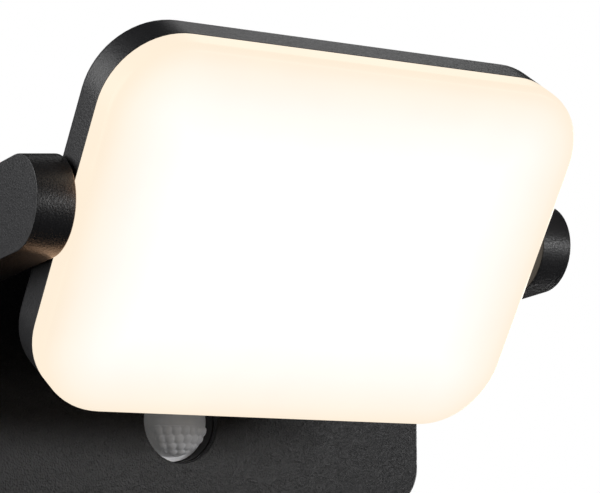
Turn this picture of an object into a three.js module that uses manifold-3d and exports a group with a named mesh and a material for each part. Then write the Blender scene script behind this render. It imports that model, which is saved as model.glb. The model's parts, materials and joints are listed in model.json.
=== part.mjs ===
// Motion-sensor floodlight for a wall: an LED head that tilts between two arms on a base.
// Millimetres. The origin is the centre of the face that meets the wall, +X runs along the
// tilt axis, +Y goes into the wall and +Z is up, so the lamp faces -Y.

import * as THREE from 'three';
import { mergeVertices } from 'three/addons/utils/BufferGeometryUtils.js';
import Module from 'manifold-3d';

const wasm = await Module();
wasm.setup();

// ---------------------------------------------------------------- driving dimensions

const GAP = 0.3;       // clearance kept between separate pieces
const OVER = 1;        // how far a cutter runs past the face it cuts
const ARC_STEPS = 4;   // half the number of straight steps in a corner's arc
const SCREW_PLAY = 0.3;

const HEAD = {
  width: 200, height: 143.7, corner: 29.1,
  housingDepth: 14.7, diffuserDepth: 12.3, axisToFront: 19.5,
  tilt: THREE.MathUtils.degToRad(32.5),
};

const HOUSING = {
  rim: 2.5, wall: 7, floor: 3.3, ledgeDepth: 1.8, backRound: 2,
  ribCount: 13, ribPitch: 12, ribWidth: 2.2, ribHeight: 3, ribLength: 88,
  pivotBoss: { reach: 14, halfHeight: 9 },
};

const DIFFUSER = { wall: 2.5, flange: 5.6, flangeDepth: 2, frontRound: 3, frontInset: 3.4 };

const REAR_SCREW = { fromCorner: 19, boss: 5, shank: 2, length: 19.5, head: 4, headHeight: 1.5 };

const LED = {
  boardWidth: 156, boardHeight: 108, boardCorner: 12, boardThick: 1.6,
  columns: 6, rows: 4, pitchX: 25, pitchZ: 25, chip: 3.2, chipHeight: 0.8,
  sheetMargin: 2.5, sheetThick: 0.4, sheetHole: 5,
  screwX: 70, screwZ: 47, screwShank: 1.5, screwHead: 2.8, screwLength: 4, screwHeadHeight: 1.8,
};

const CONNECTOR = { x: -73, z: 9, width: 6, height: 7, depth: 4 };

const BASE = {
  width: 232, height: 128.2, depth: 32, corner: 17.8, wall: 3, frontRound: 1.5,
  axisToFront: 86.2, axisToBottom: 101.2, gasketThick: 2,
};

const ARM = {
  inner: 101.8, outer: 116.3, innerRadius: 18.6, outerRadius: 17.3,
  slope: THREE.MathUtils.degToRad(5.2),
  wall: 2.5, rim: 2.6, cover: 2.1, endBlock: 10, leadHole: 4, middle: 108.6,
};

const ARM_SCREW = { rise: 11, shank: 2, length: 11.5, head: 3.6, headHeight: 2.4 };

const PIVOT = {
  tube: 5, bore: 3, tubeStart: 12, tubeEnd: 108.5,
  washer: 12, washerThick: 1.2, spring: 9, springThick: 0.8, nutAcross: 14, nutThick: 2.5,
};

const LEAD = { radius: 1.2, sides: 8, turn: 3.6, driverY: -15, driverZ: 20 };

const SENSOR = {
  axisDrop: 67.4, hole: 16.8, recess: 8.6, flange: 16, flangeThick: 1.2, dome: 14.1, domeWall: 1,
};

const HOLDER = {
  collar: 21, collarThick: 2, sleeve: 18.1, pocket: 16.4, inner: 13, depth: 7.8, seat: 1,
  legAt: 19.3, leg: 2.4, bore: 1.5, boreDepth: 3.5,
};

const SENSOR_BOARD = { halfWidth: 22, above: 15, below: 22, front: -19.7, thick: 1.6, hole: 1.5 };

const BOARD_SCREW = { shank: 1.2, length: 4.8, head: 2.4, headHeight: 1.6 };

const PYRO = { can: 4.1, brim: 4.6, brimThick: 0.5, height: 3.6 };

const DIAL = {
  pitch: 14, axisY: -22, knob: 4.2, knobHeight: 3.8, shaft: 1.5,
  slotWidth: 1.2, slotDepth: 1.2, slotShare: 0.8, potWidth: 7, potHeight: 3.5, potFront: 2.2,
};

const PLATE = {
  width: 206, height: 96, corner: 8, thick: 2,
  cableZ: 26, cableHole: 11, slotWidth: 5.5, slotLength: 18, slotX: 72, sideSlotX: 40, sideSlotZ: -26,
  lugX: 75, lugHalfWidth: 7, lugDepth: 20, lugZ: -57.2, lugThick: 2,
};

const GROMMET = { bore: 4.6, flange: 13.5, flangeThick: 2 };

const BASE_SCREW = { y: -12, shank: 2, length: 8.5, head: 3.6, headHeight: 2.2 };

const DRIVER = {
  low: [-98, -27, -6], high: [-22, -5, 36], wall: 1.6, boardThick: 1.6, standOff: 2,
  transformer: { halfWidth: 9, halfHeight: 8, tall: 12 },
  capacitors: [{ x: 20, z: 7, radius: 5, tall: 13 }, { x: 20, z: -8, radius: 4, tall: 10 }],
  heatSink: { x: -24, halfWidth: 2, halfHeight: 12, tall: 11 },
};

const TERMINAL = { low: [26, -17, 12], high: [62, -2.3, 28], ways: 3, well: 2.6, wellDepth: 8, wire: 2 };

// ---------------------------------------------------------------- places worked out from them

const HEAD_FRONT = -HEAD.axisToFront;
const HEAD_SEAM = HEAD_FRONT + HEAD.diffuserDepth;
const HEAD_BACK = HEAD_SEAM + HEAD.housingDepth;
const HEAD_LEDGE = HEAD_SEAM + HOUSING.ledgeDepth;
const HEAD_FLOOR = HEAD_BACK - HOUSING.floor;
const BOARD_FRONT = HEAD_FLOOR - GAP - LED.boardThick;
const SHEET_BACK = BOARD_FRONT - GAP;

const BASE_FRONT = -BASE.depth;
const BASE_RIM = -BASE.gasketThick - GAP;
const BASE_BOTTOM = -BASE.height / 2;
const AXIS = new THREE.Vector3(0, BASE_FRONT - BASE.axisToFront, BASE_BOTTOM + BASE.axisToBottom);
const SENSOR_Z = AXIS.z - SENSOR.axisDrop;
const LENS_BACK = BASE_FRONT + SENSOR.recess + SENSOR.flangeThick;
const ARM_END_Z = AXIS.z - BASE.axisToFront * Math.tan(ARM.slope);
const HOLDER_FRONT = BASE_FRONT + BASE.wall + GAP;

const X = new THREE.Vector3(1, 0, 0);
const Y = new THREE.Vector3(0, 1, 0);
const Z = new THREE.Vector3(0, 0, 1);
const OUT = Y.clone().negate();   // away from the wall
const SIDES = [{ side: 'left', sign: -1 }, { side: 'right', sign: 1 }];

// ---------------------------------------------------------------- solids

function signedVolume(positions, triangles) {
  const [a, b, c] = [new THREE.Vector3(), new THREE.Vector3(), new THREE.Vector3()];
  let sum = 0;
  for (let i = 0; i < triangles.length; i += 3) {
    a.fromArray(positions, 3 * triangles[i]);
    b.fromArray(positions, 3 * triangles[i + 1]);
    c.fromArray(positions, 3 * triangles[i + 2]);
    sum += a.dot(b.cross(c));
  }
  return sum / 6;
}

// Turns a closed geometry into a solid whose faces point out.
function toSolid(geometry) {
  const bare = new THREE.BufferGeometry();
  bare.setAttribute('position', geometry.getAttribute('position'));
  bare.setIndex(geometry.getIndex());
  const merged = mergeVertices(bare, 1e-4);
  const positions = Float32Array.from(merged.getAttribute('position').array);
  const corners = merged.getIndex().array;
  const triangles = [];
  for (let i = 0; i < corners.length; i += 3) {
    const [a, b, c] = [corners[i], corners[i + 1], corners[i + 2]];
    if (a !== b && b !== c && c !== a) triangles.push(a, b, c);
  }
  if (signedVolume(positions, triangles) < 0) triangles.reverse();
  const mesh = { numProp: 3, vertProperties: positions, triVerts: Uint32Array.from(triangles) };
  return new wasm.Manifold(new wasm.Mesh(mesh));
}

function join(first, ...others) {
  return others.reduce((whole, other) => whole.add(other), first);
}

function cut(whole, ...tools) {
  return tools.reduce((rest, tool) => rest.subtract(tool), whole);
}

function block(low, high) {
  const size = high.map((value, i) => value - low[i]);
  const geometry = new THREE.BoxGeometry(...size);
  geometry.translate(...low.map((value, i) => value + size[i] / 2));
  return toSolid(geometry);
}

function rod(from, to, radius, sides = 16) {
  const [start, end] = [new THREE.Vector3(...from), new THREE.Vector3(...to)];
  const run = end.clone().sub(start);
  const geometry = new THREE.CylinderGeometry(radius, radius, run.length(), sides);
  geometry.applyQuaternion(new THREE.Quaternion().setFromUnitVectors(Y, run.normalize()));
  geometry.translate(...start.add(end).multiplyScalar(0.5).toArray());
  return toSolid(geometry);
}

// Turns a profile of [radius, distance along the axis] pairs about an axis.
function turned(profile, origin, direction, sides = 20) {
  const points = profile.map(([radius, along]) => new THREE.Vector2(radius, along));
  const geometry = new THREE.LatheGeometry(points, sides);
  geometry.applyQuaternion(new THREE.Quaternion().setFromUnitVectors(Y, direction));
  geometry.translate(...origin);
  return toSolid(geometry);
}

// A closed ring of rectangular section.
function ring(inner, outer, thick, origin, direction, sides = 20) {
  const profile = [[inner, 0], [outer, 0], [outer, thick], [inner, thick], [inner, 0]];
  return turned(profile, origin, direction, sides);
}

function roundedRect(width, height, corner, inset = 0) {
  const x = width / 2 - corner;
  const z = height / 2 - corner;
  const quarter = Math.PI / 2;
  const shape = new THREE.Shape();
  [[x, z], [-x, z], [-x, -z], [x, -z]].forEach(([centreX, centreZ], turn) => {
    shape.absarc(centreX, centreZ, corner - inset, turn * quarter, (turn + 1) * quarter);
  });
  return shape.getPoints(ARC_STEPS);
}

const inXZ = (u, v, at) => [u, at, v];
const inYZ = (u, v, at) => [at, u, v];

// Skins outlines of equal length that lie at rising or falling places along one axis.
function loft(sections, place) {
  const count = sections[0].outline.length;
  const positions = sections.flatMap(({ outline, at }) => outline.flatMap((p) => place(p.x, p.y, at)));
  const triangles = [];
  for (let s = 0; s + 1 < sections.length; s += 1) {
    for (let i = 0; i < count; i += 1) {
      const next = (i + 1) % count;
      const [a, b] = [s * count + i, s * count + next];
      triangles.push(a, b, b + count, a, b + count, a + count);
    }
  }
  const cap = THREE.ShapeUtils.triangulateShape(sections[0].outline, []);
  const last = (sections.length - 1) * count;
  cap.forEach(([a, b, c]) => triangles.push(c, b, a, last + a, last + b, last + c));
  const geometry = new THREE.BufferGeometry();
  geometry.setAttribute('position', new THREE.Float32BufferAttribute(positions, 3));
  geometry.setIndex(triangles);
  return toSolid(geometry);
}

function slab(outline, from, to, place = inXZ) {
  return loft([{ outline, at: from }, { outline, at: to }], place);
}

function tube(points, radius, sides) {
  const path = new THREE.CatmullRomCurve3(points.map((point) => new THREE.Vector3(...point)));
  const section = new THREE.Shape();
  section.absarc(0, 0, radius, 0, 2 * Math.PI);
  const steps = 3 * points.length;
  const options = { steps, extrudePath: path, curveSegments: sides / 2, bevelEnabled: false };
  return toSolid(new THREE.ExtrudeGeometry(section, options));
}

function screw({ shank, length, head, headHeight }, seat, direction) {
  const profile = [
    [0, -headHeight], [head, -headHeight], [head, 0], [shank, 0], [shank, length], [0, length],
  ];
  return turned(profile, seat, direction, 12);
}

// ---------------------------------------------------------------- head

const headOutline = (inset) => roundedRect(HEAD.width, HEAD.height, HEAD.corner, inset);

const rearScrewPlaces = [-1, 1].flatMap((signX) => [-1, 1].map((signZ) => {
  const reach = REAR_SCREW.fromCorner * Math.SQRT1_2;
  return [
    signX * (HEAD.width / 2 - HEAD.corner + reach),
    signZ * (HEAD.height / 2 - HEAD.corner + reach),
  ];
}));

const ledScrewPlaces = [-1, 1].flatMap((signX) => [-1, 1].map((signZ) => (
  [signX * LED.screwX, signZ * LED.screwZ]
)));

const chipPlaces = Array.from({ length: LED.columns * LED.rows }, (_, i) => [
  (i % LED.columns - (LED.columns - 1) / 2) * LED.pitchX,
  (Math.floor(i / LED.columns) - (LED.rows - 1) / 2) * LED.pitchZ,
]);

// Die-cast tray with a gasket ledge, cooling ribs and a boss for each pivot tube.
function headHousing() {
  const round = HOUSING.backRound;
  const boss = HOUSING.pivotBoss;
  const half = HEAD.width / 2;
  let body = loft([
    { outline: headOutline(0), at: HEAD_SEAM },
    { outline: headOutline(0), at: HEAD_BACK - round },
    { outline: headOutline(0.3 * round), at: HEAD_BACK - 0.3 * round },
    { outline: headOutline(round), at: HEAD_BACK },
  ], inXZ);
  body = cut(
    body,
    slab(headOutline(HOUSING.rim), HEAD_SEAM - OVER, HEAD_LEDGE),
    slab(headOutline(HOUSING.wall), HEAD_LEDGE - OVER, HEAD_FLOOR),
  );
  for (const sign of [-1, 1]) {
    const ends = [sign * (half - boss.reach), sign * (half - HOUSING.wall + OVER)].sort((a, b) => a - b);
    const [low, high] = [-boss.halfHeight, boss.halfHeight];
    body = join(body, block([ends[0], HEAD_LEDGE, low], [ends[1], HEAD_FLOOR + OVER, high]));
    const shoulder = half - PIVOT.tubeStart;
    body = cut(
      body,
      rod([sign * shoulder, 0, 0], [sign * (half + OVER), 0, 0], PIVOT.tube + GAP),
      rod([sign * (half - boss.reach - OVER), 0, 0], [sign * (shoulder + OVER), 0, 0], PIVOT.bore),
    );
  }
  for (const [x, z] of rearScrewPlaces) {
    body = join(body, rod([x, HEAD_LEDGE, z], [x, HEAD_FLOOR + OVER, z], REAR_SCREW.boss));
    const end = [x, HEAD_BACK + OVER, z];
    body = cut(
      body,
      rod([x, HEAD_LEDGE - OVER, z], end, REAR_SCREW.shank + SCREW_PLAY, 12),
      rod([x, HEAD_BACK - REAR_SCREW.headHeight - GAP, z], end, REAR_SCREW.head + SCREW_PLAY),
    );
  }
  for (const [x, z] of ledScrewPlaces) {
    const end = HEAD_FLOOR + LED.screwLength - LED.boardThick;
    body = cut(body, rod([x, HEAD_FLOOR - OVER, z], [x, end, z], LED.screwShank + SCREW_PLAY, 12));
  }
  for (let i = 0; i < HOUSING.ribCount; i += 1) {
    const x = (i - (HOUSING.ribCount - 1) / 2) * HOUSING.ribPitch;
    const [w, l] = [HOUSING.ribWidth / 2, HOUSING.ribLength / 2];
    body = join(body, block([x - w, HEAD_BACK - OVER, -l], [x + w, HEAD_BACK + HOUSING.ribHeight, l]));
  }
  return body;
}

function headGasket() {
  const [outer, inner] = [HOUSING.rim + GAP, DIFFUSER.flange - GAP];
  const [front, back] = [HEAD_SEAM, HEAD_LEDGE - GAP];
  return cut(slab(headOutline(outer), front, back), slab(headOutline(inner), front - OVER, back + OVER));
}

// Opal cap: side wall, soft front edge, a flange over the gasket and four screw bosses.
function diffuser() {
  const rim = HEAD_SEAM - GAP;
  const inside = HEAD_FRONT + DIFFUSER.wall;
  const steps = 4;
  const edge = Array.from({ length: steps + 1 }, (_, i) => {
    const turn = (i / steps) * Math.PI / 2;
    return {
      outline: headOutline(DIFFUSER.frontInset * (1 - Math.cos(turn))),
      at: HEAD_FRONT + DIFFUSER.frontRound * (1 - Math.sin(turn)),
    };
  });
  let body = cut(
    loft([{ outline: headOutline(0), at: rim }, ...edge], inXZ),
    slab(headOutline(DIFFUSER.wall), rim - DIFFUSER.flangeDepth, inside),
    slab(headOutline(DIFFUSER.flange), rim + OVER, inside + OVER),
  );
  for (const [x, z] of rearScrewPlaces) {
    body = join(body, rod([x, rim, z], [x, inside - OVER / 2, z], REAR_SCREW.boss));
    body = cut(body, rod([x, rim + OVER, z], [x, inside + GAP, z], REAR_SCREW.shank + SCREW_PLAY, 12));
  }
  return body;
}

function ledBoard() {
  const outline = roundedRect(LED.boardWidth, LED.boardHeight, LED.boardCorner);
  let body = slab(outline, BOARD_FRONT, BOARD_FRONT + LED.boardThick);
  const half = LED.chip / 2;
  for (const [x, z] of chipPlaces) {
    const [low, high] = [BOARD_FRONT - LED.chipHeight, BOARD_FRONT + LED.boardThick / 2];
    body = join(body, block([x - half, low, z - half], [x + half, high, z + half]));
  }
  const { x, z, width, height, depth } = CONNECTOR;
  body = join(body, block(
    [x - width / 2, BOARD_FRONT - depth, z - height / 2],
    [x + width / 2, BOARD_FRONT + LED.boardThick / 2, z + height / 2],
  ));
  for (const [screwX, screwZ] of ledScrewPlaces) {
    const [from, to] = [BOARD_FRONT - OVER, BOARD_FRONT + LED.boardThick + OVER];
    body = cut(body, rod([screwX, from, screwZ], [screwX, to, screwZ], LED.screwShank + SCREW_PLAY, 12));
  }
  return body;
}

function reflectorSheet() {
  const grow = 2 * LED.sheetMargin;
  const corner = LED.boardCorner + LED.sheetMargin;
  const outline = roundedRect(LED.boardWidth + grow, LED.boardHeight + grow, corner);
  const [front, back] = [SHEET_BACK - LED.sheetThick, SHEET_BACK];
  const [low, high] = [front - OVER, back + OVER];
  let body = slab(outline, front, back);
  const half = LED.sheetHole / 2;
  for (const [x, z] of chipPlaces) {
    body = cut(body, block([x - half, low, z - half], [x + half, high, z + half]));
  }
  for (const [x, z] of ledScrewPlaces) {
    body = cut(body, rod([x, low, z], [x, high, z], LED.screwHead + 2 * GAP, 12));
  }
  const { x, z, width, height } = CONNECTOR;
  const [w, h] = [width / 2 + GAP, height / 2 + GAP];
  return cut(body, block([x - w, low, z - h], [x + w, high, z + h]));
}

function pivotTube(sign) {
  const start = HEAD.width / 2 - PIVOT.tubeStart + GAP;
  const direction = X.clone().multiplyScalar(sign);
  return ring(PIVOT.bore, PIVOT.tube, PIVOT.tubeEnd - start, [sign * start, 0, 0], direction);
}

const NUT_START = ARM.inner + ARM.wall + PIVOT.springThick + 3 * GAP;

function pivotNut(sign) {
  const corner = PIVOT.nutAcross / Math.sqrt(3);
  const [start, end] = [NUT_START, NUT_START + PIVOT.nutThick];
  return cut(
    rod([sign * start, 0, 0], [sign * end, 0, 0], corner, 6),
    rod([sign * (start - OVER), 0, 0], [sign * (end + OVER), 0, 0], PIVOT.tube + GAP),
  );
}

// Two-core lead from the pivot tube to the board's connector.
function headLead() {
  const end = CONNECTOR.x - CONNECTOR.width / 2 - GAP;
  return tube([
    [-(PIVOT.tubeEnd + GAP), 0, 0],
    [-HEAD.width / 2, 0, 0],
    [-HEAD.width / 2 + HOUSING.pivotBoss.reach, 0, 0],
    [end - 6, 0, CONNECTOR.z / 2],
    [end - 3, 0, CONNECTOR.z],
    [end, 0, CONNECTOR.z],
  ], LEAD.radius, LEAD.sides);
}

// ---------------------------------------------------------------- arms

// Side view of an arm: a half-round nose about the tilt axis and straight edges to the base.
function armOutline(radius, end = BASE_FRONT - GAP) {
  const up = new THREE.Vector2(Math.sin(ARM.slope), Math.cos(ARM.slope));
  const nose = new THREE.Vector2(AXIS.y, AXIS.z);
  const edgeAtEnd = (sign) => {
    const tangent = nose.clone().addScaledVector(up, sign * radius);
    return new THREE.Vector2(end, tangent.y - (end - tangent.x) * Math.tan(ARM.slope));
  };
  const [top, bottom] = [edgeAtEnd(1), edgeAtEnd(-1)];
  const upAngle = Math.PI / 2 - ARM.slope;
  const shape = new THREE.Shape();
  shape.moveTo(bottom.x, bottom.y);
  shape.lineTo(top.x, top.y);
  shape.absarc(nose.x, nose.y, radius, upAngle, upAngle + Math.PI);
  return shape.getPoints(2 * ARC_STEPS);
}

function draftRadius(x) {
  const share = (x - ARM.inner) / (ARM.outer - ARM.inner);
  return THREE.MathUtils.lerp(ARM.innerRadius, ARM.outerRadius, share);
}

const COVER_SEAT = ARM.outer - ARM.cover;

// Hollow casting, open on its outer side, with a solid end that the base's screws enter.
function arm(sign) {
  const seat = COVER_SEAT - GAP;
  const pocketEnd = BASE_FRONT - GAP - ARM.endBlock;
  const pocket = armOutline(ARM.outerRadius - ARM.rim, pocketEnd);
  let body = cut(
    loft([
      { outline: armOutline(draftRadius(ARM.inner)), at: sign * ARM.inner },
      { outline: armOutline(draftRadius(seat)), at: sign * seat },
    ], inYZ),
    slab(pocket, sign * (ARM.inner + ARM.wall), sign * (seat + OVER), inYZ),
    rod(
      [sign * (ARM.inner - OVER), AXIS.y, AXIS.z], [sign * (seat + OVER), AXIS.y, AXIS.z],
      PIVOT.tube + GAP,
    ),
  );
  const x = sign * ARM.middle;
  const end = BASE_FRONT - ARM_SCREW.length + BASE.wall;
  for (const rise of [-ARM_SCREW.rise, ARM_SCREW.rise]) {
    const z = ARM_END_Z + rise;
    const radius = ARM_SCREW.shank + SCREW_PLAY;
    body = cut(body, rod([x, BASE_FRONT + OVER, z], [x, end, z], radius, 12));
  }
  const [from, to] = [BASE_FRONT + OVER, pocketEnd - OVER];
  return cut(body, rod([x, from, ARM_END_Z], [x, to, ARM_END_Z], ARM.leadHole));
}

function armCover(sign) {
  return loft([
    { outline: armOutline(draftRadius(COVER_SEAT)), at: sign * COVER_SEAT },
    { outline: armOutline(draftRadius(ARM.outer)), at: sign * ARM.outer },
  ], inYZ);
}

// Two-core lead from the driver, through the left arm, to the mouth of the pivot tube.
function armLead() {
  const spine = (y) => AXIS.z - (y - AXIS.y) * Math.tan(ARM.slope);
  const mouth = PIVOT.tubeEnd + 2 * GAP;
  const turn = LEAD.turn;
  const straightStart = AXIS.y + 2 * turn;
  const bend = Array.from({ length: 4 }, (_, i) => {
    const angle = (i / 3) * Math.PI / 2;
    const x = mouth + turn * Math.cos(angle);
    return [-x, AXIS.y + turn * (1 - Math.sin(angle)), AXIS.z];
  });
  return tube([
    [DRIVER.low[0] - GAP, LEAD.driverY, LEAD.driverZ],
    [DRIVER.low[0] - 3, LEAD.driverY, LEAD.driverZ],
    [DRIVER.low[0] - 7, LEAD.driverY - 2.5, LEAD.driverZ + 3],
    [-ARM.middle, BASE_FRONT + 7, ARM_END_Z],
    [-ARM.middle, BASE_FRONT - ARM.endBlock / 2, ARM_END_Z],
    [-ARM.middle - 1.5, BASE_FRONT - 2 * ARM.endBlock, spine(BASE_FRONT - 2 * ARM.endBlock)],
    [-(mouth + turn), straightStart + 30, spine(straightStart + 30)],
    [-(mouth + turn), straightStart, spine(straightStart)],
    ...bend,
  ], LEAD.radius, LEAD.sides);
}

function armWasher(sign) {
  const origin = [sign * (HEAD.width / 2 + GAP), AXIS.y, AXIS.z];
  return ring(PIVOT.tube + GAP, PIVOT.washer, PIVOT.washerThick, origin, X.clone().multiplyScalar(sign));
}

function springWasher(sign) {
  const origin = [sign * (ARM.inner + ARM.wall + GAP), AXIS.y, AXIS.z];
  return ring(PIVOT.tube + GAP, PIVOT.spring, PIVOT.springThick, origin, X.clone().multiplyScalar(sign));
}

// ---------------------------------------------------------------- base

const baseOutline = (inset) => roundedRect(BASE.width, BASE.height, BASE.corner, inset);
const dialPlaces = ['time', 'lux', 'range'].map((name, i) => ({ name, x: (i - 1) * DIAL.pitch }));

// Die-cast cover, open to the wall, with holes for the sensor, the arms and the dials.
function baseHousing() {
  const round = BASE.frontRound;
  let body = loft([
    { outline: baseOutline(0), at: BASE_RIM },
    { outline: baseOutline(0), at: BASE_FRONT + round },
    { outline: baseOutline(0.3 * round), at: BASE_FRONT + 0.3 * round },
    { outline: baseOutline(round), at: BASE_FRONT },
  ], inXZ);
  const [front, inside] = [BASE_FRONT - OVER, BASE_FRONT + BASE.wall];
  body = cut(body, slab(baseOutline(BASE.wall), inside, BASE_RIM + OVER));
  body = cut(body, rod([0, front, SENSOR_Z], [0, inside + OVER, SENSOR_Z], SENSOR.hole, 32));
  for (const sign of [-1, 1]) {
    const x = sign * ARM.middle;
    body = cut(body, rod([x, front, ARM_END_Z], [x, inside + OVER, ARM_END_Z], ARM.leadHole));
    for (const rise of [-ARM_SCREW.rise, ARM_SCREW.rise]) {
      const z = ARM_END_Z + rise;
      const radius = ARM_SCREW.shank + SCREW_PLAY;
      body = cut(body, rod([x, front, z], [x, inside + OVER, z], radius, 12));
    }
    const screwX = sign * PLATE.lugX;
    const [low, high] = [BASE_BOTTOM - OVER, BASE_BOTTOM + BASE.wall + OVER];
    const radius = BASE_SCREW.shank + SCREW_PLAY;
    body = cut(body, rod([screwX, BASE_SCREW.y, low], [screwX, BASE_SCREW.y, high], radius, 12));
  }
  for (const { x } of dialPlaces) {
    const [low, high] = [BASE_BOTTOM - OVER, BASE_BOTTOM + BASE.wall + OVER];
    body = cut(body, rod([x, DIAL.axisY, low], [x, DIAL.axisY, high], DIAL.knob + GAP));
  }
  return body;
}

function baseGasket() {
  const [outer, inner] = [baseOutline(0.5), baseOutline(BASE.wall + 0.5)];
  return cut(slab(outer, -BASE.gasketThick, 0), slab(inner, -BASE.gasketThick - OVER, OVER));
}

function slot(x, z, width, height) {
  const outline = roundedRect(width, height, PLATE.slotWidth / 2 - 0.01);
  return slab(outline, -PLATE.thick - OVER, OVER).translate([x, 0, z]);
}

// Pressed steel bracket: cable hole, four screw slots and two lugs bent forward.
function wallPlate() {
  let body = slab(roundedRect(PLATE.width, PLATE.height, PLATE.corner), -PLATE.thick, 0);
  for (const sign of [-1, 1]) {
    const x = sign * PLATE.lugX;
    const [left, right] = [x - PLATE.lugHalfWidth, x + PLATE.lugHalfWidth];
    const lugLow = PLATE.lugZ - PLATE.lugThick;
    body = join(
      body,
      block([left, -PLATE.thick, lugLow], [right, 0, -PLATE.height / 2 + OVER]),
      block([left, -PLATE.lugDepth, lugLow], [right, -PLATE.thick / 2, PLATE.lugZ]),
    );
    const radius = BASE_SCREW.shank + SCREW_PLAY;
    body = cut(
      body,
      rod([x, BASE_SCREW.y, lugLow - OVER], [x, BASE_SCREW.y, PLATE.lugZ + OVER], radius, 12),
      slot(sign * PLATE.slotX, 0, PLATE.slotLength, PLATE.slotWidth),
      slot(sign * PLATE.sideSlotX, PLATE.sideSlotZ, PLATE.slotWidth, PLATE.slotLength),
    );
  }
  const [front, back] = [-PLATE.thick - OVER, OVER];
  return cut(body, rod([0, front, PLATE.cableZ], [0, back, PLATE.cableZ], PLATE.cableHole, 24));
}

function cableGrommet() {
  const { bore, flange, flangeThick } = GROMMET;
  const waist = PLATE.cableHole - GAP;
  const shoulder = PLATE.thick + GAP;
  const profile = [
    [bore, 0], [waist, 0], [waist, shoulder], [flange, shoulder],
    [flange, shoulder + flangeThick], [bore, shoulder + flangeThick], [bore, 0],
  ];
  return turned(profile, [0, 0, PLATE.cableZ], OUT);
}

function terminalBlock() {
  const { low, high, ways } = TERMINAL;
  let body = block(low, high);
  const pitch = (high[0] - low[0]) / ways;
  for (let i = 0; i < ways; i += 1) {
    const x = low[0] + (i + 0.5) * pitch;
    const [y, z] = [(low[1] + high[1]) / 2, (low[2] + high[2]) / 2];
    body = cut(
      body,
      rod([x, low[1] - OVER, z], [x, low[1] + TERMINAL.wellDepth, z], TERMINAL.well, 12),
      rod([x, y, low[2] - OVER], [x, y, high[2] + OVER], TERMINAL.wire, 12),
    );
  }
  return body;
}

function driverCase() {
  const { low, high, wall } = DRIVER;
  const inner = [low.map((value) => value + wall), high.map((value) => value - wall)];
  inner[0][1] = low[1] - OVER;
  return cut(block(low, high), block(...inner));
}

// Circuit board with a transformer, two capacitors and a heat-sunk transistor.
function driverBoard() {
  const { low, high, wall, boardThick, standOff, transformer, capacitors, heatSink } = DRIVER;
  const back = high[1] - wall - GAP - standOff;
  const front = back - boardThick;
  const inBoard = back - boardThick / 2;
  const margin = wall + GAP;
  const [midX, midZ] = [(low[0] + high[0]) / 2, (low[2] + high[2]) / 2];
  const standing = ({ x = 0, halfWidth, halfHeight, tall }) => block(
    [midX + x - halfWidth, front - tall, midZ - halfHeight],
    [midX + x + halfWidth, inBoard, midZ + halfHeight],
  );
  return join(
    block([low[0] + margin, front, low[2] + margin], [high[0] - margin, back, high[2] - margin]),
    standing(transformer),
    standing(heatSink),
    ...capacitors.map(({ x, z, radius, tall }) => (
      rod([midX + x, front - tall, midZ + z], [midX + x, inBoard, midZ + z], radius, 12)
    )),
  );
}

// ---------------------------------------------------------------- sensor and dials

// Moulded polythene lens: a thin dome on a flat flange, open behind.
function sensorLens() {
  const arc = (radius, from, to) => Array.from({ length: 7 }, (_, i) => {
    const angle = THREE.MathUtils.lerp(from, to, i / 6);
    return [radius * Math.cos(angle), SENSOR.flangeThick + radius * Math.sin(angle)];
  });
  const [quarter, inner] = [Math.PI / 2, SENSOR.dome - SENSOR.domeWall];
  const profile = [
    ...arc(inner, quarter, 0), [inner, 0], [SENSOR.flange, 0],
    [SENSOR.flange, SENSOR.flangeThick], ...arc(SENSOR.dome, 0, quarter),
  ];
  profile[0][0] = 0;
  profile[profile.length - 1][0] = 0;
  return turned(profile, [0, LENS_BACK, SENSOR_Z], OUT, 24);
}

// Black cup behind the cover, whose pocket takes the lens, with two legs that carry the board.
function sensorHolder() {
  const { collar, collarThick, sleeve, pocket, inner, depth, seat, legAt, leg, bore, boreDepth } = HOLDER;
  const back = HOLDER_FRONT + depth;
  const end = SENSOR_BOARD.front - GAP;
  const profile = [
    [inner, 0], [sleeve, 0], [sleeve, depth - collarThick], [collar, depth - collarThick],
    [collar, depth], [pocket, depth], [pocket, seat], [inner, seat], [inner, 0],
  ];
  let body = turned(profile, [0, back, SENSOR_Z], OUT, 24);
  for (const sign of [-1, 1]) {
    const x = sign * legAt;
    body = join(body, rod([x, HOLDER_FRONT + collarThick / 2, SENSOR_Z], [x, end, SENSOR_Z], leg, 12));
    body = cut(body, rod([x, end + OVER, SENSOR_Z], [x, end - boreDepth, SENSOR_Z], bore, 12));
  }
  return body;
}

function sensorBoard() {
  const { halfWidth, above, below, front, thick, hole } = SENSOR_BOARD;
  const bottom = SENSOR_Z - below;
  let body = block([-halfWidth, front, bottom], [halfWidth, front + thick, SENSOR_Z + above]);
  const half = DIAL.potWidth / 2;
  for (const { x } of dialPlaces) {
    const [low, high] = [DIAL.axisY - DIAL.potFront, front + thick / 2];
    body = join(body, block([x - half, low, bottom], [x + half, high, bottom + DIAL.potHeight]));
  }
  for (const sign of [-1, 1]) {
    const x = sign * HOLDER.legAt;
    const [from, to] = [front - OVER, front + thick + OVER];
    body = cut(body, rod([x, from, SENSOR_Z], [x, to, SENSOR_Z], hole, 12));
  }
  return body;
}

function pyroSensor() {
  const { can, brim, brimThick, height } = PYRO;
  const profile = [[0, 0], [brim, 0], [brim, brimThick], [can, brimThick], [can, height], [0, height]];
  return turned(profile, [0, SENSOR_BOARD.front - GAP, SENSOR_Z], OUT, 16);
}

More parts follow.
